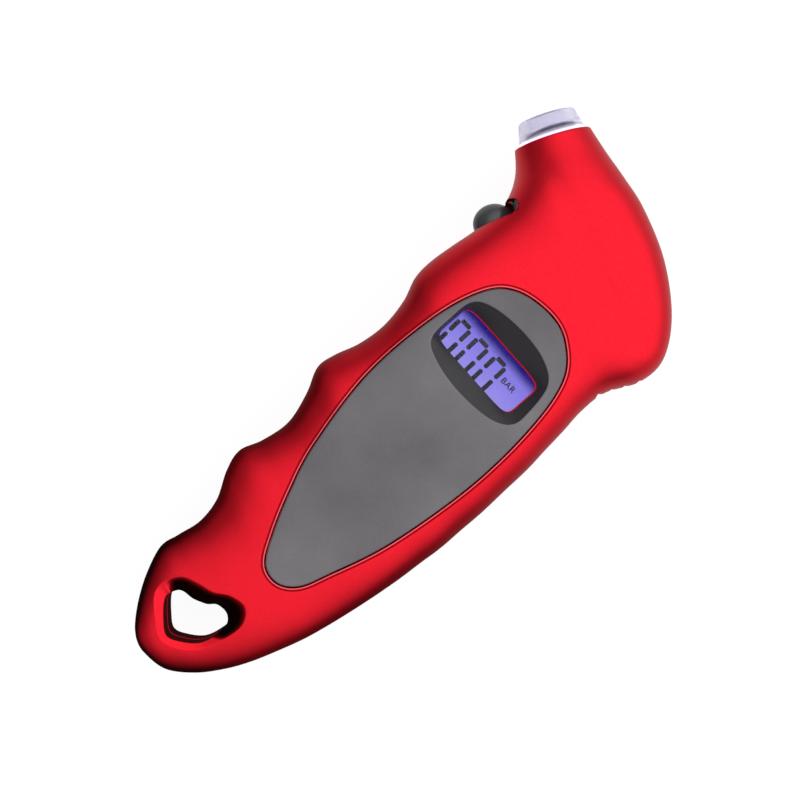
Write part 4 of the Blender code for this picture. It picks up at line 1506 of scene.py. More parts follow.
@dataclass
class Case:
    """The two red halves and the grey panel between the fingers and the head."""

    finishes: Finishes
    panel_outline: tuple[Pair, ...] = (
        (16.1, -1.2), (14.2, 6.8), (9.0, 11.6), (-2.7, 14.5), (-20.7, 14.9), (-39.5, 11.2),
        (-50.3, 7.1), (-59.1, 2.7), (-64.5, -1.1), (-65.3, -5.6), (-62.3, -9.3), (-55.9, -11.5),
        (-41.2, -15.3), (-20.3, -17.4), (-2.6, -16.5), (9.0, -13.5), (14.6, -7.6),
    )
    panel_steps: int = 360
    panel_thick: float = 1.6
    panel_sunk: float = 0.1
    panel_round: float = 0.35
    dish_outline: tuple[Pair, ...] = (
        (5.6, 11.5), (8.2, 7.4), (9.3, 0.0), (8.7, -7.2), (5.9, -12.1), (-0.8, -13.7),
        (-5.2, -13.3), (-7.9, -9.2), (-9.0, -1.0), (-8.3, 6.6), (-6.0, 11.4), (0.0, 12.1),
    )
    dish_steps: int = 240
    dish_round: float = 0.45
    dish_floor: float = 25.2
    pad_low: float = 24.9
    pad_margin: float = 0.7
    window: Pair = (4.9, 11.5)
    window_squareness: float = 7.0
    aperture_inset: float = 0.1
    aperture_shift: Pair = (-0.12, 0.12)
    hole: tuple[Pair, ...] = (
        (-58.4, -29.0), (-56.5, -28.0), (-54.7, -28.8), (-53.0, -31.1), (-50.6, -32.9),
        (-48.4, -33.8), (-47.0, -36.1), (-47.6, -38.4), (-50.1, -39.7), (-53.9, -40.2),
        (-57.6, -38.8), (-60.2, -36.6), (-59.8, -33.0),
    )
    scoop: tuple[Pair, ...] = (
        (-60.0, -27.2), (-57.0, -25.2), (-53.2, -25.2), (-50.2, -27.4), (-47.4, -30.3),
        (-44.0, -32.2), (-41.7, -35.4), (-43.4, -39.0), (-48.2, -40.9), (-53.7, -41.6),
        (-58.3, -40.2), (-61.6, -37.1), (-61.4, -32.3),
    )
    scoop_steepness: float = 1.5
    scoop_blend: float = 0.14
    steep_toward: Pair = (0.88, 0.47)
    # Painted shade and painted highlight, as values of the red paint's tone attribute:
    shelf_painted_shade: float = -0.3
    notch_painted_shade: float = -0.95
    tail_painted_shade: float = -0.9
    tail_shade_start: float = -42.0
    tail_shade_fade: float = 14.0
    lip_highlight_and_shade: tuple[Pair, ...] = (
        (0.2, -1.0), (0.26, -0.9), (0.3, -0.1), (0.38, 0.32), (0.52, 0.32), (0.62, 0.0), (0.76, -0.6),
        (0.93, -0.6), (0.98, 0.0),
    )
    button_x: float = 34.1
    rib_count: int = 4
    rib_first_x: float = 44.8
    rib_pitch: float = 3.05
    rib_y: float = -14.9
    rib_radius: float = 1.1
    rib_length: float = 17.0
    notch: tuple[Pair, ...] = (
        (26.0, 27.9), (33.6, 28.4), (37.6, 28.7), (38.7, 29.1), (39.3, 29.8), (39.5, 30.6),
        (39.4, 31.3), (39.0, 31.8), (38.2, 32.3), (37.0, 33.5), (26.0, 33.5),
    )
    notch_wall: tuple[Pair, ...] = (
        (24.0, 26.0), (38.2, 26.8), (41.0, 28.4), (41.5, 30.6), (41.0, 33.0), (40.0, 36.0), (24.0, 36.0),
    )
    back_scoop: float = 1.3
    screws: tuple[tuple[float, float, float, float], ...] = ()

    def panel_line(self, margin: float) -> Points:
        """The panel's edge, grown by a margin, as x and y."""
        return grown(evenly(on_grip(closed_spline(self.panel_outline, 24)), self.panel_steps), margin)

    def dish_line(self, margin: float) -> Points:
        """The edge of the boat-shaped dish, grown by a margin, as x and y."""
        return grown(on_grip(self.by_angle(closed_spline(self.dish_outline, 30))), margin)

    def by_angle(self, outline: Points) -> Points:
        """An outline about the display with its points at the window's own angles.

        Args:
            outline: a closed outline round the display.

        Returns:
            The outline with its points moved.
        """
        window = rounded_box(*self.window, self.window_squareness, self.dish_steps)
        wanted = np.unwrap(np.arctan2(window[:, 1], window[:, 0]))
        found = np.unwrap(np.arctan2(outline[:, 1], outline[:, 0]))
        if found[-1] < found[0]:
            outline, found = outline[::-1], np.unwrap(np.arctan2(outline[::-1, 1], outline[::-1, 0]))
        turns = np.concatenate([found - 2 * math.pi, found, found + 2 * math.pi])
        tripled = np.concatenate([outline] * 3)
        return np.column_stack([np.interp(wanted, turns, tripled[:, k]) for k in (0, 1)])

    def window_line(self, margin: float) -> Points:
        """The window's edge, grown by a margin, as x and y."""
        half_u, half_w = (half + margin for half in self.window)
        return on_grip(rounded_box(half_u, half_w, self.window_squareness, self.dish_steps))

    def bezel(self) -> Thing:
        """The rounded red lip round the panel, with the fine groove outside it.

        Returns:
            The lip as a closed ring.
        """
        profile = (
            (1.02, 0.0), (0.97, -0.10), (0.93, -0.28), (0.80, -0.30), (0.76, -0.14),
            (0.70, -0.03), (0.60, 0.0), (0.48, 0.0), (0.36, -0.05), (0.28, -0.16),
            (0.24, -0.34), (0.24, -1.95), (1.02, -1.95),
        )
        rings = []
        for margin, offset in profile:
            line = self.panel_line(margin)
            rings.append(np.column_stack([line, FORM.height(line) + offset]))
        skin = Skin()
        skin.strips(rings, closed=True)
        return add_object("bezel", skin.mesh("bezel"))

    def scooped_ring(self, half: Half) -> Thing:
        """The soft edge of the lanyard hole in one half.

        Args:
            half: which half.

        Returns:
            The edge as a closed ring.
        """
        hole = closed_spline(self.hole, 16)
        outer = self.scoop_line(half)
        width = np.linalg.norm(outer - hole, axis=1)
        top = np.abs(FORM.height(outer, half) - MID)
        depth = np.minimum(width * self.scoop_steepness, top - 1.5) * (0.2 + 0.8 * self.steep_side(outer))
        gap = FORM.parting_gap / 2
        edge = FORM.parting_edge
        rings = []
        blend = self.scoop_blend
        for share in np.linspace(0.0, 1.0, 15) ** 1.5:
            line = outer + (hole - outer) * share
            drop = (math.hypot(share, blend) - blend) / (math.hypot(1.0, blend) - blend)
            rings.append(np.column_stack([line, top - depth * drop]))
        rings.append(np.column_stack([hole, np.full(len(hole), gap + edge)]))
        rings.append(np.column_stack([grown(hole, edge), np.full(len(hole), gap)]))
        rings.append(np.column_stack([outer, np.full(len(hole), gap)]))
        for ring in rings:
            ring[:, 2] = MID + half.value * ring[:, 2]
        skin = Skin()
        skin.strips(rings, closed=True)
        return add_object("lanyard_edge", skin.mesh("lanyard_edge"))

    def scoop_line(self, half: Half) -> Points:
        """Where the soft edge of the lanyard hole starts on one half's face.

        Args:
            half: which half.

        Returns:
            The outline.
        """
        if half is Half.FRONT:
            return closed_spline(self.scoop, 16)
        return grown(closed_spline(self.hole, 16), self.back_scoop)

    def steep_side(self, points: Points) -> Points:
        """How much places belong to the lanyard hole's steep side, toward the grip, from 0 to 1.

        Args:
            points: x and y, one row a point.

        Returns:
            A share for each place.
        """
        away = points[:, :2] - np.array(self.hole).mean(axis=0)
        toward = away @ np.array(self.steep_toward) / np.maximum(np.linalg.norm(away, axis=1), 0.01)
        share = np.clip((toward - 0.05) / 0.35, 0.0, 1.0)
        return share * share * (3 - 2 * share)

    def paint_light_and_shade(self, shell: Thing, half: Half) -> None:
        """Paints shade and highlight into the red paint through its tone attribute: painted shade on the
        tail's flanks, in the lanyard hole's scoop, in the button notch, in the groove round the panel and on
        the shelf round the display window, and a painted highlight on the lip round the panel.

        Args:
            shell: one half of the case, with its finished mesh.
            half: which half it is.
        """
        mesh = shell.data
        count = len(mesh.vertices)
        points, normals = np.empty(count * 3, np.float32), np.empty(count * 3, np.float32)
        mesh.vertices.foreach_get("co", points)
        mesh.vertex_normals.foreach_get("vector", normals)
        points, normals = points.reshape(-1, 3).astype(float) / MM, normals.reshape(-1, 3)
        node = "front_shell" if half is Half.FRONT else "rear_shell"
        low, high = (np.array(corner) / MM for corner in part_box(node))
        points = np.clip(points, low, high)
        mesh.vertices.foreach_set("co", (points * MM).astype(np.float32).ravel())
        flat = points[:, :2]
        # Painted shade on the steep flanks toward the tail.
        flank = np.clip((0.97 - np.abs(normals[:, 2])) / 0.4, 0.0, 1.0)
        tail = np.clip((self.tail_shade_start - points[:, 0]) / self.tail_shade_fade, 0.0, 1.0)
        tone = self.tail_painted_shade * flank * tail
        # Painted shade in the lanyard hole's scoop: deep on its steep side, faint next to the hole on its
        # gentle side.
        hole, outer = closed_spline(self.hole, 16), self.scoop_line(half)
        near = np.flatnonzero(inside(flat, grown(outer, 0.2)))
        to_hole = distance_to(flat[near], np.vstack([hole, hole[:1]]))
        to_outer = distance_to(flat[near], np.vstack([outer, outer[:1]]))
        share = to_outer / np.maximum(to_hole + to_outer, 0.01)
        steep = self.steep_side(flat[near])
        steep_shade = np.clip(steep * share * 3.2, 0.0, 1.0)
        gentle_shade = (1 - steep) * np.clip((share - 0.94) * 7, 0.0, 0.36)
        tone[near] = -steep_shade - gentle_shade
        # Painted shade in the button notch.
        notch = inside(flat, grown(np.array(self.notch), 0.12))
        tone[notch] = self.notch_painted_shade
        if half is Half.FRONT:
            # Painted highlight on the lip's crest, painted shade on its inner wall and in the groove outside
            # it.
            line = self.panel_line(0.0)
            margin = distance_to(flat, np.vstack([line, line[:1]]))
            ring = (margin < 1.0) & ~inside(flat, line) & (points[:, 2] > 20.0)
            places, tones = zip(*self.lip_highlight_and_shade)
            tone[ring] = np.interp(margin[ring], places, tones)
            # Painted shade on the low shelf round the display window.
            window = self.window_line(-1.0)
            shelf = inside(flat, grown(window, 2.0)) & (points[:, 2] < 25.5)
            tone[shelf] = self.shelf_painted_shade
        mesh.attributes.new("tone", "FLOAT", "POINT").data.foreach_set("value", tone.astype(np.float32))

    def shared_cutters(self, half: Half) -> list[Thing]:
        """The holes that both halves share.

        Args:
            half: which half.

        Returns:
            The cutters.
        """

        def bore(name: str, radius: float, span: Pair, x: float, steps: int = 96) -> Thing:
            """A round hole along the head's length.

            Args:
                name: the object's name.
                radius: its radius.
                span: its ends along the head.
                x: where its axis is.
                steps: its sides.

            Returns:
                The cutter.
            """
            low, high = span
            profile = [(0.0, low), (radius, low), (radius, high), (0.0, high)]
            return turned(name, profile, (x, 0.0, MID), "Y", steps)

        outer = self.scoop_line(half)
        row = bpy.data.meshes.new("rib_line")
        first, last = self.rib_first_x, self.rib_first_x + self.rib_pitch * (self.rib_count - 0.95)
        row.from_pydata([(x * MM, self.rib_y * MM, MID * MM) for x in (first, last)], [(0, 1)], [])
        ribs = run_tree(
            add_object("finger_ribs", row),
            TREES.ribs,
            {
                "Pitch": self.rib_pitch * MM, "Rib Radius": self.rib_radius * MM,
                "Rib Length": self.rib_length * MM, "Finish": self.finishes.red,
            },
        )
        return [
            prism("lanyard_cut", outer, -2.0, 40.0),
            ribs,
            bore("ring_bore", 7.85, (33.0, 46.0), NOZZLE_X),
            bore("fitting_bore", 5.7, (20.0, 34.0), NOZZLE_X, 48),
            bore("button_pocket", 5.3, (24.6, 32.2), self.button_x),
            prism("button_notch", np.array(self.notch), 8.0, 40.0),
            bore("stem_hole", 2.1, (19.0, 26.0), self.button_x, 32),
        ]

    def fixed_inside(self, low: float, high: float) -> list[Thing]:
        """What is left standing in a hollow: the button's cup and the rib behind the nozzle.

        Args:
            low: foot of the screw bosses.
            high: their top.

        Returns:
            The solids.
        """
        cup = [(0.0, 23.0), (6.7, 23.0), (6.7, 29.0), (0.0, 29.0)]
        rib = np.array([(37.9, 22.2), (57.3, 22.2), (57.3, 24.0), (37.9, 24.0)])
        standing = [
            turned("button_cup", cup, (self.button_x, 0.0, MID), "Y", 32),
            prism("fitting_rib", rib, -1.0, 30.0),
            prism("notch_wall", np.array(self.notch_wall), -3.0, 41.0),
        ]
        for x, y, *_ in self.screws[1:]:
            boss = [(0.0, low), (3.2, low), (3.2, high), (0.0, high)]
            standing.append(turned("boss", boss, (x, y, 0.0), "Z", 32))
        return standing

    def front_shell(self) -> Thing:
        """The front half: bed, lip and groove for the panel, and the shelf over the display.

        Returns:
            The front half.
        """
        shell = FORM.solid("front_shell_red", Half.FRONT, 96, 10)
        cavity = FORM.core("front_hollow", Half.FRONT, (7.4, 27.6), 2.0, None, 0.0)
        shelf = prism("shelf", on_grip(rounded_box(12.3, 16.3, 3.0, 64)), 23.4, 40.0)
        boolean(cavity, [shelf, *self.fixed_inside(MID - 1.0, 32.0)])
        bed = prism("bed", self.panel_line(1.02), 18.0, 40.0)
        under_panel = self.panel_sunk + self.panel_thick + 0.3
        floor = FORM.core("bed_floor", Half.FRONT, (0.0, FORM.last - 0.01), 0.0, under_panel, 0.0)
        pad = prism("pad_room", self.dish_line(self.pad_margin + 0.3), 24.6, 40.0)
        boolean(floor, [pad])
        boolean(bed, [floor])
        shift = on_grip(np.array([self.aperture_shift])) - on_grip(np.array([(0.0, 0.0)]))
        aperture = prism("aperture", self.window_line(-self.aperture_inset) + shift, 20.0, 30.0)
        boolean(shell, [cavity, bed, aperture, *self.screw_holes(), *self.shared_cutters(Half.FRONT)])
        merge(shell, [self.bezel(), self.scooped_ring(Half.FRONT)])
        smooth(shell, 30.0)
        # painted shade and highlight in the red paint
        self.paint_light_and_shade(shell, Half.FRONT)
        return finish_piece(shell, self.finishes.red, "case", ["front_shell"])

    def screw_holes(self) -> list[Thing]:
        """The stepped holes of the case screws, up from the back.

        Returns:
            The cutters.
        """
        cutters = []
        for x, y, seat, end in self.screws:
            corners = [
                (0.0, end + 0.3, 0.0), (1.4, end + 0.3, 0.0), (1.4, seat + 0.3, 0.0), (2.6, seat + 0.3, 0.0),
                (2.6, -2.0, 0.0), (0.0, -2.0, 0.0),
            ]
            cutters.append(turned("screw_hole", rounded_profile(corners), (x, y, 0.0), "Z", 48))
        return cutters

    def rear_shell(self, bay: BatteryBay) -> Thing:
        """The back half, with the battery bay's walls and its round opening.

        Args:
            bay: the battery bay.

        Returns:
            The back half.
        """
        shell = FORM.solid("rear_shell_red", Half.BACK, 96, 10)
        cavity = FORM.core("rear_hollow", Half.BACK, (7.4, 27.6), 2.0, 2.4, 2.4)
        boolean(cavity, [bay.cup(), *self.fixed_inside(-2.0, MID + 1.0)])
        boolean(shell, [cavity])
        boolean(shell, [*bay.cutters(), *self.screw_holes(), *self.shared_cutters(Half.BACK)])
        merge(shell, [self.scooped_ring(Half.BACK)])
        smooth(shell, 30.0)
        # painted shade and highlight in the red paint
        self.paint_light_and_shade(shell, Half.BACK)
        return finish_piece(shell, self.finishes.red, "case", ["rear_shell"])

    def face_panel(self) -> Thing:
        """The grey insert with its rounded edge and the dish that narrows to the window.

        Returns:
            The insert.
        """
        sunk = self.panel_sunk

        def on_face(line: Points, offset: float) -> Points:
            """A ring that follows the body's face at an offset."""
            return np.column_stack([line, FORM.height(line) - sunk + offset])

        skin = Skin()
        turn = np.radians(np.arange(0, 91, 15))
        edge = [on_face(self.panel_line(0.0), -self.panel_thick)]
        for angle in turn:
            line = self.panel_line(-self.panel_round * (1 - math.cos(angle)))
            edge.append(on_face(line, -self.panel_round * (1 - math.sin(angle))))
        skin.strips(edge)
        dish = []
        for angle in turn:
            line = self.dish_line(self.dish_round * (1 - math.sin(angle)))
            dish.append(on_face(line, -self.dish_round * 0.7 * (1 - math.cos(angle))))
        window = self.window_line(0.0)
        top, foot = dish[-1], np.column_stack([window, np.full(len(window), self.dish_floor)])
        for share in np.linspace(0.0, 1.0, 9)[1:]:
            dish.append(top + (foot - top) * share)
        dish.append(np.column_stack([window, np.full(len(window), self.pad_low)]))
        pad_line = self.dish_line(self.pad_margin)
        dish.append(np.column_stack([pad_line, np.full(len(pad_line), self.pad_low)]))
        dish.append(on_face(pad_line, -self.panel_thick))
        skin.strips(dish)
        skin.web(edge[-1][:, :2], dish[0][:, :2], 0.8, lambda points: FORM.height(points) - sunk)
        skin.web(edge[0][:, :2], pad_line, 2.0, lambda points: FORM.height(points) - sunk - self.panel_thick)
        panel = add_object("face_panel_grey", skin.mesh("face_panel_grey"))
        # painted shade on the dish's slopes
        self.paint_dish_shade(panel.data)
        smooth(panel, 32.0)
        return finish_piece(panel, self.finishes.grey, "case", ["face_panel"])

    def paint_dish_shade(self, mesh: bpy.types.Mesh) -> None:
        """Marks where shade is painted on the panel's mesh: 1 on the dish's slopes and 0 elsewhere.

        Args:
            mesh: the panel's mesh.
        """
        points = np.array([vertex.co for vertex in mesh.vertices]) / MM
        marked = inside(points[:, :2], self.dish_line(0.12)).astype(np.float32)
        mesh.attributes.new("dish", "FLOAT", "POINT").data.foreach_set("value", marked)


# ---- battery bay


@dataclass
class BatteryBay:
    """The round cover on the back and the walls round the cell."""

    finishes: Finishes
    radius: float = 13.4
    low: float = 0.3
    high: float = 1.8
    plug_radius: float = 11.6
    lug_radius: float = 13.1
    cell_low: float = 5.6
    lugs: int = 3
    lug_arc: float = 30.0
    turn: float = 40.0

    def place(self, z: float = 0.0) -> tuple[float, float, float]:
        """The middle of the cover."""
        low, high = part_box("coin_cell")
        return ((low.x + high.x) / 2 / MM, (low.y + high.y) / 2 / MM, z)

    def cup(self) -> Thing:
        """The wall left standing round the cell."""
        profile = [(0.0, -2.0), (15.2, -2.0), (15.2, 11.4), (0.0, 11.4)]
        return turned("battery_cup", profile, self.place(), "Z", 96)

    def sector(self, name: str, radius: float, z_range: Pair, middle: float, arc: float) -> Thing:
        """A wedge about the cover's axis, for lugs and their notches.

        Args:
            name: the object's name.
            radius: its outer radius.
            z_range: its foot and top.
            middle: its middle's angle in degrees.
            arc: its width in degrees.

        Returns:
            The wedge.
        """
        x, y, _ = self.place()
        angles = np.radians(np.linspace(middle - arc / 2, middle + arc / 2, 13))
        rim = np.column_stack([x + radius * np.cos(angles), y + radius * np.sin(angles)])
        return prism(name, np.vstack([[(x, y)], rim]), *z_range)

    def cutters(self) -> list[Thing]:
        """The room for the cover, its lugs and the cell.

        Returns:
            The cutters.
        """
        chamber = [
            (0.0, 10.2), (10.4, 10.2), (10.4, 5.3), (13.5, 5.3), (13.5, 3.5), (11.9, 3.5), (11.9, 2.1),
            (13.7, 2.1), (13.7, 0.35), (14.05, 0.0), (14.05, -2.0), (0.0, -2.0),
        ]
        made = [turned("chamber", chamber, self.place(), "Z", 128)]
        for i in range(self.lugs):
            middle = 360.0 * i / self.lugs + self.turn
            made.append(self.sector("notch", self.lug_radius + 0.2, (1.5, 4.0), middle, self.lug_arc + 5.0))
        made.append(grip_box("negative_slot", (-48.0, -46.2), (-4.0, 2.0), (9.5, 13.0)))
        made.append(grip_box("positive_slot", (-28.3, -26.6), (-4.0, 2.0), (5.9, 13.0)))
        return made

    def door(self) -> Thing:
        """The cover, with a coin slot and a turned groove in its face.

        Returns:
            The cover.
        """
        corners = [
            (0.0, self.cell_low - 0.4, 0.0), (self.plug_radius, self.cell_low - 0.4, 0.3),
            (self.plug_radius, self.high, 0.0),
            (self.radius, self.high, 0.2), (self.radius, self.low, 0.4),
            (10.9, self.low, 0.1), (10.7, self.low + 0.25, 0.1), (10.3, self.low + 0.25, 0.1),
            (10.1, self.low, 0.1), (0.0, self.low, 0.0),
        ]
        door = turned("battery_cover_red", rounded_profile(corners), self.place(), "Z", 128)
        lugs = [
            self.sector("lug", self.lug_radius, (3.8, 5.0), 360.0 * i / self.lugs, self.lug_arc)
            for i in range(self.lugs)
        ]
        boolean(door, lugs, "UNION")
        x, y, _ = self.place()
        slot = rounded_box(7.5, 1.1, 6.0, 64)
        cos, sin = math.cos(GRIP_ANGLE), math.sin(GRIP_ANGLE)
        slot = slot @ np.array([[cos, sin], [-sin, cos]]) + (x, y)
        boolean(door, [prism("coin_slot", slot, -1.0, 1.2)])
        smooth(door, 30.0)
        return finish_piece(door, self.finishes.red, "battery_cover", ["battery_door"])


# ---- display


@dataclass
class Display:
    """The lit glass with its figures and unit."""

    finishes: Finishes
    glass_top: float = 22.0
    ink_height: float = 0.05
    art_turn: float = math.radians(1.5)
    digit_width: float = 4.2
    digit_height: float = 8.6
    digit_pitch: float = 5.52
    first_digit: float = -8.9
    top_line: float = 2.1
    bar_width: float = 1.0
    bar_gap: float = 0.56
    digits: int = 3

    def bar_pattern(self) -> Thing:
        """One display bar with pointed ends, one long and one wide."""
        outline = np.array([(-0.5, 0.0), (-0.42, 0.5), (0.42, 0.5), (0.5, 0.0), (0.42, -0.5), (-0.42, -0.5)])
        return prism("bar_pattern", outline, 0.0, 1.0)

    def place(self, reading: Points, up: Points) -> Points:
        """Places in the figures' own directions, reading and up, as u and w."""
        cos, sin = math.cos(self.art_turn), math.sin(self.art_turn)
        return np.column_stack([reading * sin + up * cos, -(reading * cos - up * sin)])

    def bars(self) -> Thing:
        """The bars of three noughts.

        Returns:
            The bars.
        """
        spots, turns, sizes = [], [], []
        half_width = self.digit_width / 2 - self.bar_width / 2
        stroke = self.digit_height / 2 - self.bar_width / 2
        upright = stroke - self.bar_gap
        for i in range(self.digits):
            middle = self.first_digit + self.digit_pitch * i
            for side in (-1, 1):
                for level in (0, 1):
                    spots.append((middle + side * half_width, self.top_line - stroke * (0.5 + level)))
                    turns.append(0.0)
                    sizes.append((upright, self.bar_width))
            for level in (0, 2):
                spots.append((middle, self.top_line - stroke * level))
                turns.append(math.pi / 2)
                sizes.append((self.digit_width - self.bar_width - self.bar_gap, self.bar_width))
        spots = np.array(spots)
        where = on_grip(self.place(spots[:, 0], spots[:, 1]))
        places = np.column_stack([where, np.full(len(where), self.glass_top)])
        angles = np.array(turns) + GRIP_ANGLE + self.art_turn
        shapes = np.column_stack([np.array(sizes), np.full(len(sizes), self.ink_height)])
        return copies("display_bars", self.bar_pattern(), places, angles, shapes, self.finishes.ink)

    def unit(self) -> Thing:
        """The unit printed beside the figures.

        Returns:
            The lettering.
        """
        text = bpy.data.curves.new("unit", "FONT")
        text.body = "BAR"
        text.size = 1.9 * MM
        text.offset = 0.038 * MM
        text.extrude = self.ink_height / 2 * MM
        text.space_character = 1.12
        made = bpy.data.objects.new("unit", text)
        bpy.context.scene.collection.objects.link(made)
        mesh = bpy.data.meshes.new_from_object(made.evaluated_get(bpy.context.evaluated_depsgraph_get()))
        bpy.data.objects.remove(made)
        points = np.array([vertex.co for vertex in mesh.vertices]) / MM
        where = on_grip(self.place(points[:, 0] + 4.95, points[:, 1] - 0.85))
        placed = np.column_stack([where, points[:, 2] + self.glass_top + self.ink_height / 2])
        mesh.vertices.foreach_set("co", (placed * MM).astype(np.float32).ravel())
        return add_object("display_unit", mesh)

    def build(self) -> None:
        """Makes the figures and the unit over the glass."""
        for thing in (self.bars(), self.unit()):
            finish_piece(thing, self.finishes.ink, "case", [])


# ---- button and nozzle


@dataclass
class PowerButton:
    """The domed button in the crook of the gauge."""

    finishes: Finishes
    x: float = 34.1
    radius: float = 4.6
    top: float = 32.75
    shoulder: float = 28.6
    skirt: float = 25.7
    steps: int = 96

    def build(self) -> Thing:
        """Makes the button with its stem and collar.

        Returns:
            The button.
        """
        dome = self.top - self.shoulder
        profile = [(0.0, self.top)]
        for k in range(1, 19):
            angle = math.pi / 2 * k / 18
            profile.append((self.radius * math.sin(angle), self.shoulder + dome * math.cos(angle)))
        profile += [
            (self.radius, self.skirt), (1.8, self.skirt), (1.8, 22.7), (2.7, 22.7), (2.7, 21.9), (1.8, 21.9),
            (1.8, 20.3), (0.0, 20.3),
        ]
        button = turned("power_button_black", profile, (self.x, 0.0, MID), "Y", self.steps)
        smooth(button, 35.0)
        return finish_piece(button, self.finishes.button, "button", ["power_button"])


@dataclass
class Nozzle:
    """The clear lit ring, with the rubber seal and the valve pin inside it."""

    finishes: Finishes
    steps: int = 128

    def turned_part(self, name: str, corners: Sequence[tuple[float, float, float]]) -> Thing:
        """A part turned about the nozzle's axis, with rounded corners.

        Args:
            name: the object's name.
            corners: as rounded_profile takes them.

        Returns:
            The part.
        """
        made = turned(name, rounded_profile(corners), (NOZZLE_X, 0.0, MID), "Y", self.steps)
        smooth(made, 40.0)
        return made

    def build(self) -> None:
        """Makes the ring, the seal and the brass pin."""
        tip = NOZZLE_TIP_Y
        ring = [
            (4.9, tip, 0.25), (6.3, tip, 0.7), (7.55, 42.6, 2.0), (7.55, 31.7, 0.0),
            (9.2, 31.7, 0.2), (9.2, 29.8, 0.2),
            (5.75, 29.8, 0.0), (5.75, 44.8, 0.25), (4.4, 44.8, 0.1), (4.4, tip - 0.5, 0.2),
        ]
        seal = [
            (4.1, 44.5, 0.3), (5.45, 44.5, 0.3), (5.45, 40.4, 0.1), (2.1, 40.4, 0.1),
            (2.1, 42.4, 0.3), (4.1, 42.4, 0.3),
        ]
        pin = [
            (0.0, 43.2, 0.0), (0.8, 43.2, 0.5), (0.8, 37.3, 0.0), (1.9, 37.3, 0.15),
            (1.9, 36.5, 0.0), (0.0, 36.5, 0.0),
        ]
        finishes = self.finishes
        for name, corners, finish, node, slot in (
            ("nozzle_ring_clear", ring, finishes.ring, "nozzle_light_ring", "clear_plastic"),
            ("nozzle_cup_rubber", seal, finishes.rubber, "nozzle_seal", "rubber"),
            ("valve_pin_brass", pin, finishes.brass, "valve_pin", "brass"),
        ):
            finish_piece(self.turned_part(name, corners), finish, "case", [node])


# ---- screws


@dataclass
class CaseScrews:
    """The four cross-head screws that hold the halves together."""

    finishes: Finishes
    places: tuple[tuple[float, float, float, float], ...] = ()
    head: float = 2.3
    shank: float = 1.1

    def pattern(self, length: float) -> Thing:
        """One screw, head down, its seat at height 0.

        Args:
            length: the shank's length.

        Returns:
            The screw.
        """
        corners = [
            (0.0, length, 0.0), (self.shank * 0.5, length, 0.0), (self.shank, length - 1.2, 0.0),
            (self.shank, 0.0, 0.0),
            (self.head, 0.0, 0.1), (self.head, -1.5, 0.7), (0.0, -1.5, 0.0),
        ]
        screw = turned("screw_pattern", rounded_profile(corners, 6), (0.0, 0.0, 0.0), "Z", 64)
        arms = []
        for long_x, long_y in ((1.35, 0.32), (0.32, 1.35)):
            outline = np.array([(-long_x, -long_y), (long_x, -long_y), (long_x, long_y), (-long_x, long_y)])
            arms.append(prism("recess_arm", outline, -2.5, -0.45))
        boolean(screw, arms)
        smooth(screw, 35.0)
        return screw

    def build(self) -> Thing:
        """Places the four screws as one piece.

        Returns:
            The four screws.
        """
        lengths = [end - seat for _, _, seat, end in self.places]
        made = []
        for i, ((x, y, seat, _), length) in enumerate(zip(self.places, lengths)):
            made.append(
                copies(
                    f"screw_{i}", self.pattern(length), np.array([(x, y, seat)]), np.array([0.5 + 0.7 * i]),
                    np.ones((1, 3)), self.finishes.steel,
                )
            )
        merge(made[0], made[1:])
        made[0].name = "case_screws_steel"
        nodes = [f"case_screw_{i + 1}" for i in range(len(self.places))]
        return finish_piece(made[0], self.finishes.steel, "case", nodes)


# ---- inside


@dataclass
class Inside:
    """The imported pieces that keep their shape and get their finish."""

    finishes: Finishes

    def build(self) -> None:
        """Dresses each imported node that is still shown."""
        finish = self.finishes
        dress = {
            "display_lens": finish.lens, "lcd_glass": finish.display, "lcd_backlight": finish.guide,
            "backlight_led": finish.white, "lcd_connector_strip": finish.rubber, "lcd_frame": finish.white,
            "main_board": finish.board, "controller_blob": finish.black, "pressure_sensor": finish.black,
            "tact_switch_body": finish.black, "tact_switch_plunger": finish.white, "coin_cell": finish.steel,
            "battery_contact_negative": finish.spring, "battery_contact_positive": finish.spring,
            "nozzle_fitting": finish.brass, "nozzle_led": finish.lens, "air_hose": finish.silicone,
            "hose_clip_sensor": finish.spring, "hose_clip_fitting": finish.spring,
            "battery_lead_black": finish.black_wire, "lamp_lead_black": finish.black_wire,
            "battery_lead_red": finish.red_wire, "lamp_lead_red": finish.red_wire,
            "board_screw_1": finish.steel, "board_screw_2": finish.steel,
        }
        for name, material in dress.items():
            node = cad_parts[name]
            if not node.data.materials:
                node.data.materials.append(material)
            for i in range(len(node.data.materials)):
                node.data.materials[i] = material
            LOG.info("%s keeps its packed shape", name)


# ---- studio


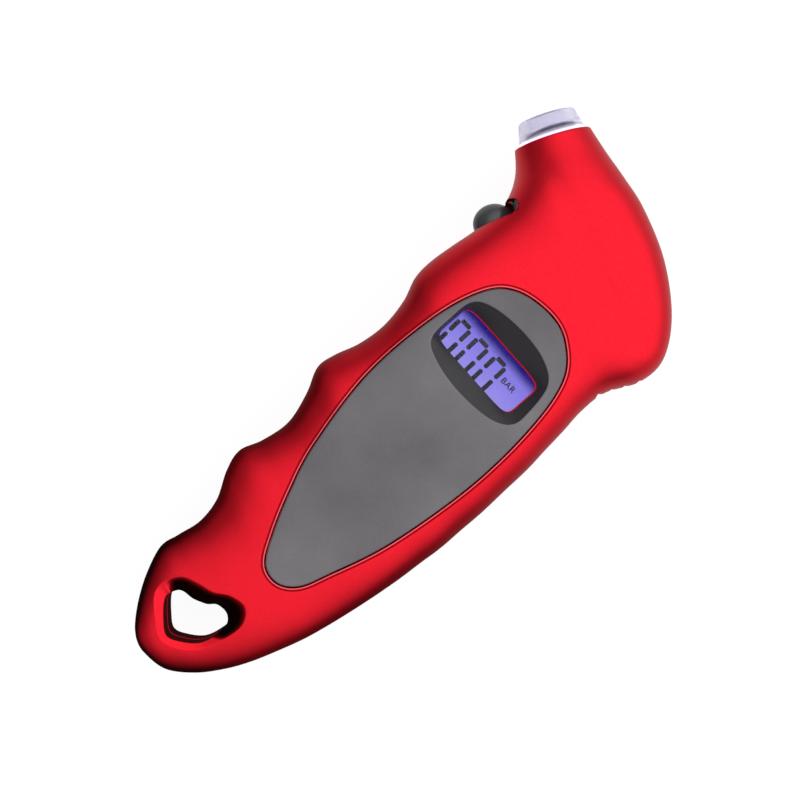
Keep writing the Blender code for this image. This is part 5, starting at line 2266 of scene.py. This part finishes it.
@dataclass
class Studio:
    """The pale floor, the soft light and the camera."""

    distance: float = 360.0
    view_width: float = 176.0
    aim: Pair = (3.0, -2.65)
    turn: float = math.radians(-17.0)
    pale: Colour = (1.25, 1.25, 1.25)
    shadow_weight: float = 0.26
    bounce: tuple[float, float, float, float] = (-0.045, 0.07, 0.02, 0.52)
    light_lean: tuple[float, float, float] = (0.5, -0.05, 0.87)
    light_spread: Pair = (86.0, 34.0)
    bright: float = 1.5
    dark: float = 0.27

    def floor(self) -> None:
        """A wide pale floor just under the gauge, which throws most light back near the head."""
        half = 3.0
        mesh = bpy.data.meshes.new("floor")
        corners = [(-half, -half, 0), (half, -half, 0), (half, half, 0), (-half, half, 0)]
        mesh.from_pydata(corners, [], [(0, 1, 2, 3)])
        floor = add_object("floor", mesh)
        floor.location.z = -0.00005
        material = bpy.data.materials.new("pale_floor")
        material.use_nodes = True
        wiring = Wiring(material.node_tree)
        shader = wiring.tree.nodes["Principled BSDF"]
        put(shader, Roughness=0.9, Specular_IOR_Level=0.0, Base_Color=(0.5, 0.5, 0.5, 1.0))
        path = wiring.node("ShaderNodeLightPath")
        seen = wiring.math("MAXIMUM", path.outputs["Is Camera Ray"], path.outputs["Is Transmission Ray"])
        where = wiring.node("ShaderNodeSeparateXYZ")
        wiring.link(wiring.node("ShaderNodeTexCoord").outputs["Object"], where.inputs[0])
        right = wiring.node("ShaderNodeMapRange", interpolation_type="SMOOTHSTEP")
        for title, value in zip(("From Min", "From Max", "To Min", "To Max"), self.bounce):
            right.inputs[title].default_value = value
        along = wiring.math("ADD", where.outputs[0], wiring.math("MULTIPLY", where.outputs[1], 0.45))
        wiring.link(along, right.inputs["Value"])
        thrown = wiring.node("ShaderNodeEmission")
        wiring.link(right.outputs["Result"], thrown.inputs["Strength"])
        pale = wiring.node("ShaderNodeEmission")
        put(pale, Color=(*self.pale, 1.0))
        shown = wiring.node("ShaderNodeMixShader")
        put(shown, Fac=self.shadow_weight)
        mixed = wiring.node("ShaderNodeMixShader")
        wiring.link(pale.outputs[0], shown.inputs[1])
        wiring.link(shader.outputs[0], shown.inputs[2])
        wiring.link(seen, mixed.inputs["Fac"])
        wiring.link(thrown.outputs[0], mixed.inputs[1])
        wiring.link(shown.outputs[0], mixed.inputs[2])
        wiring.link(mixed.outputs[0], wiring.tree.nodes["Material Output"].inputs["Surface"])
        floor.data.materials.append(material)

    def camera(self) -> None:
        """A camera straight above the display side."""
        data = bpy.data.cameras.new("camera")
        data.sensor_width = 36.0
        data.lens = data.sensor_width * self.distance / self.view_width
        data.clip_start = 0.01
        data.clip_end = 20.0
        camera = bpy.data.objects.new("camera", data)
        bpy.context.scene.collection.objects.link(camera)
        camera.location = Vector((*self.aim, MID + self.distance)) * MM
        camera.rotation_euler = (0.0, 0.0, self.turn)
        bpy.context.scene.camera = camera

    def world(self) -> None:
        """A wide soft box overhead, leaning to the right, in a dark room that looks pale when seen."""
        world = bpy.data.worlds.new("surround")
        bpy.context.scene.world = world
        world.use_nodes = True
        wiring = Wiring(world.node_tree)
        pale = wiring.tree.nodes["Background"]
        put(pale, Color=(*self.pale, 1.0))
        lit = wiring.node("ShaderNodeBackground")
        lean = Vector(self.light_lean).normalized()
        toward = wiring.node("ShaderNodeVectorMath", operation="DOT_PRODUCT")
        toward.inputs[1].default_value = lean
        wiring.link(wiring.node("ShaderNodeTexCoord").outputs["Generated"], toward.inputs[0])
        box = wiring.node("ShaderNodeMapRange", interpolation_type="SMOOTHSTEP")
        wide, narrow = (math.cos(math.radians(angle)) for angle in self.light_spread)
        limits = (wide, narrow, self.dark, self.bright)
        for title, value in zip(("From Min", "From Max", "To Min", "To Max"), limits):
            box.inputs[title].default_value = value
        wiring.link(toward.outputs["Value"], box.inputs["Value"])
        wiring.link(box.outputs["Result"], lit.inputs["Strength"])
        path = wiring.node("ShaderNodeLightPath")
        seen = wiring.math("MAXIMUM", path.outputs["Is Camera Ray"], path.outputs["Is Transmission Ray"])
        mixed = wiring.node("ShaderNodeMixShader")
        wiring.link(seen, mixed.inputs["Fac"])
        wiring.link(lit.outputs[0], mixed.inputs[1])
        wiring.link(pale.outputs[0], mixed.inputs[2])
        wiring.link(mixed.outputs[0], wiring.tree.nodes["World Output"].inputs["Surface"])

    def build(self) -> None:
        """Sets up everything round the gauge."""
        self.floor()
        self.camera()
        self.world()
        bpy.context.scene.view_settings.view_transform = "Standard"


# ---- the whole gauge


def main() -> None:
    """Builds the gauge piece by piece."""
    logging.basicConfig(level=logging.INFO, format="%(name)s: %(message)s")
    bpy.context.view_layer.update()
    finishes = Finishes()
    screws = (
        (-43.5, -27.2, 7.0, 20.3),
        (*on_grip(np.array([(3.0, 19.2)]))[0], 2.7, 21.5),
        (*on_grip(np.array([(-30.0, -18.6)]))[0], 2.7, 20.5),
        (57.0, -4.0, 2.7, 21.5),
    )
    bay = BatteryBay(finishes)
    case = Case(finishes, screws=screws)
    case.front_shell()
    case.rear_shell(bay)
    case.face_panel()
    bay.door()
    Display(finishes).build()
    PowerButton(finishes).build()
    Nozzle(finishes).build()
    CaseScrews(finishes, screws).build()
    Inside(finishes).build()
    Studio().build()


if __name__ == "__main__":
    main()
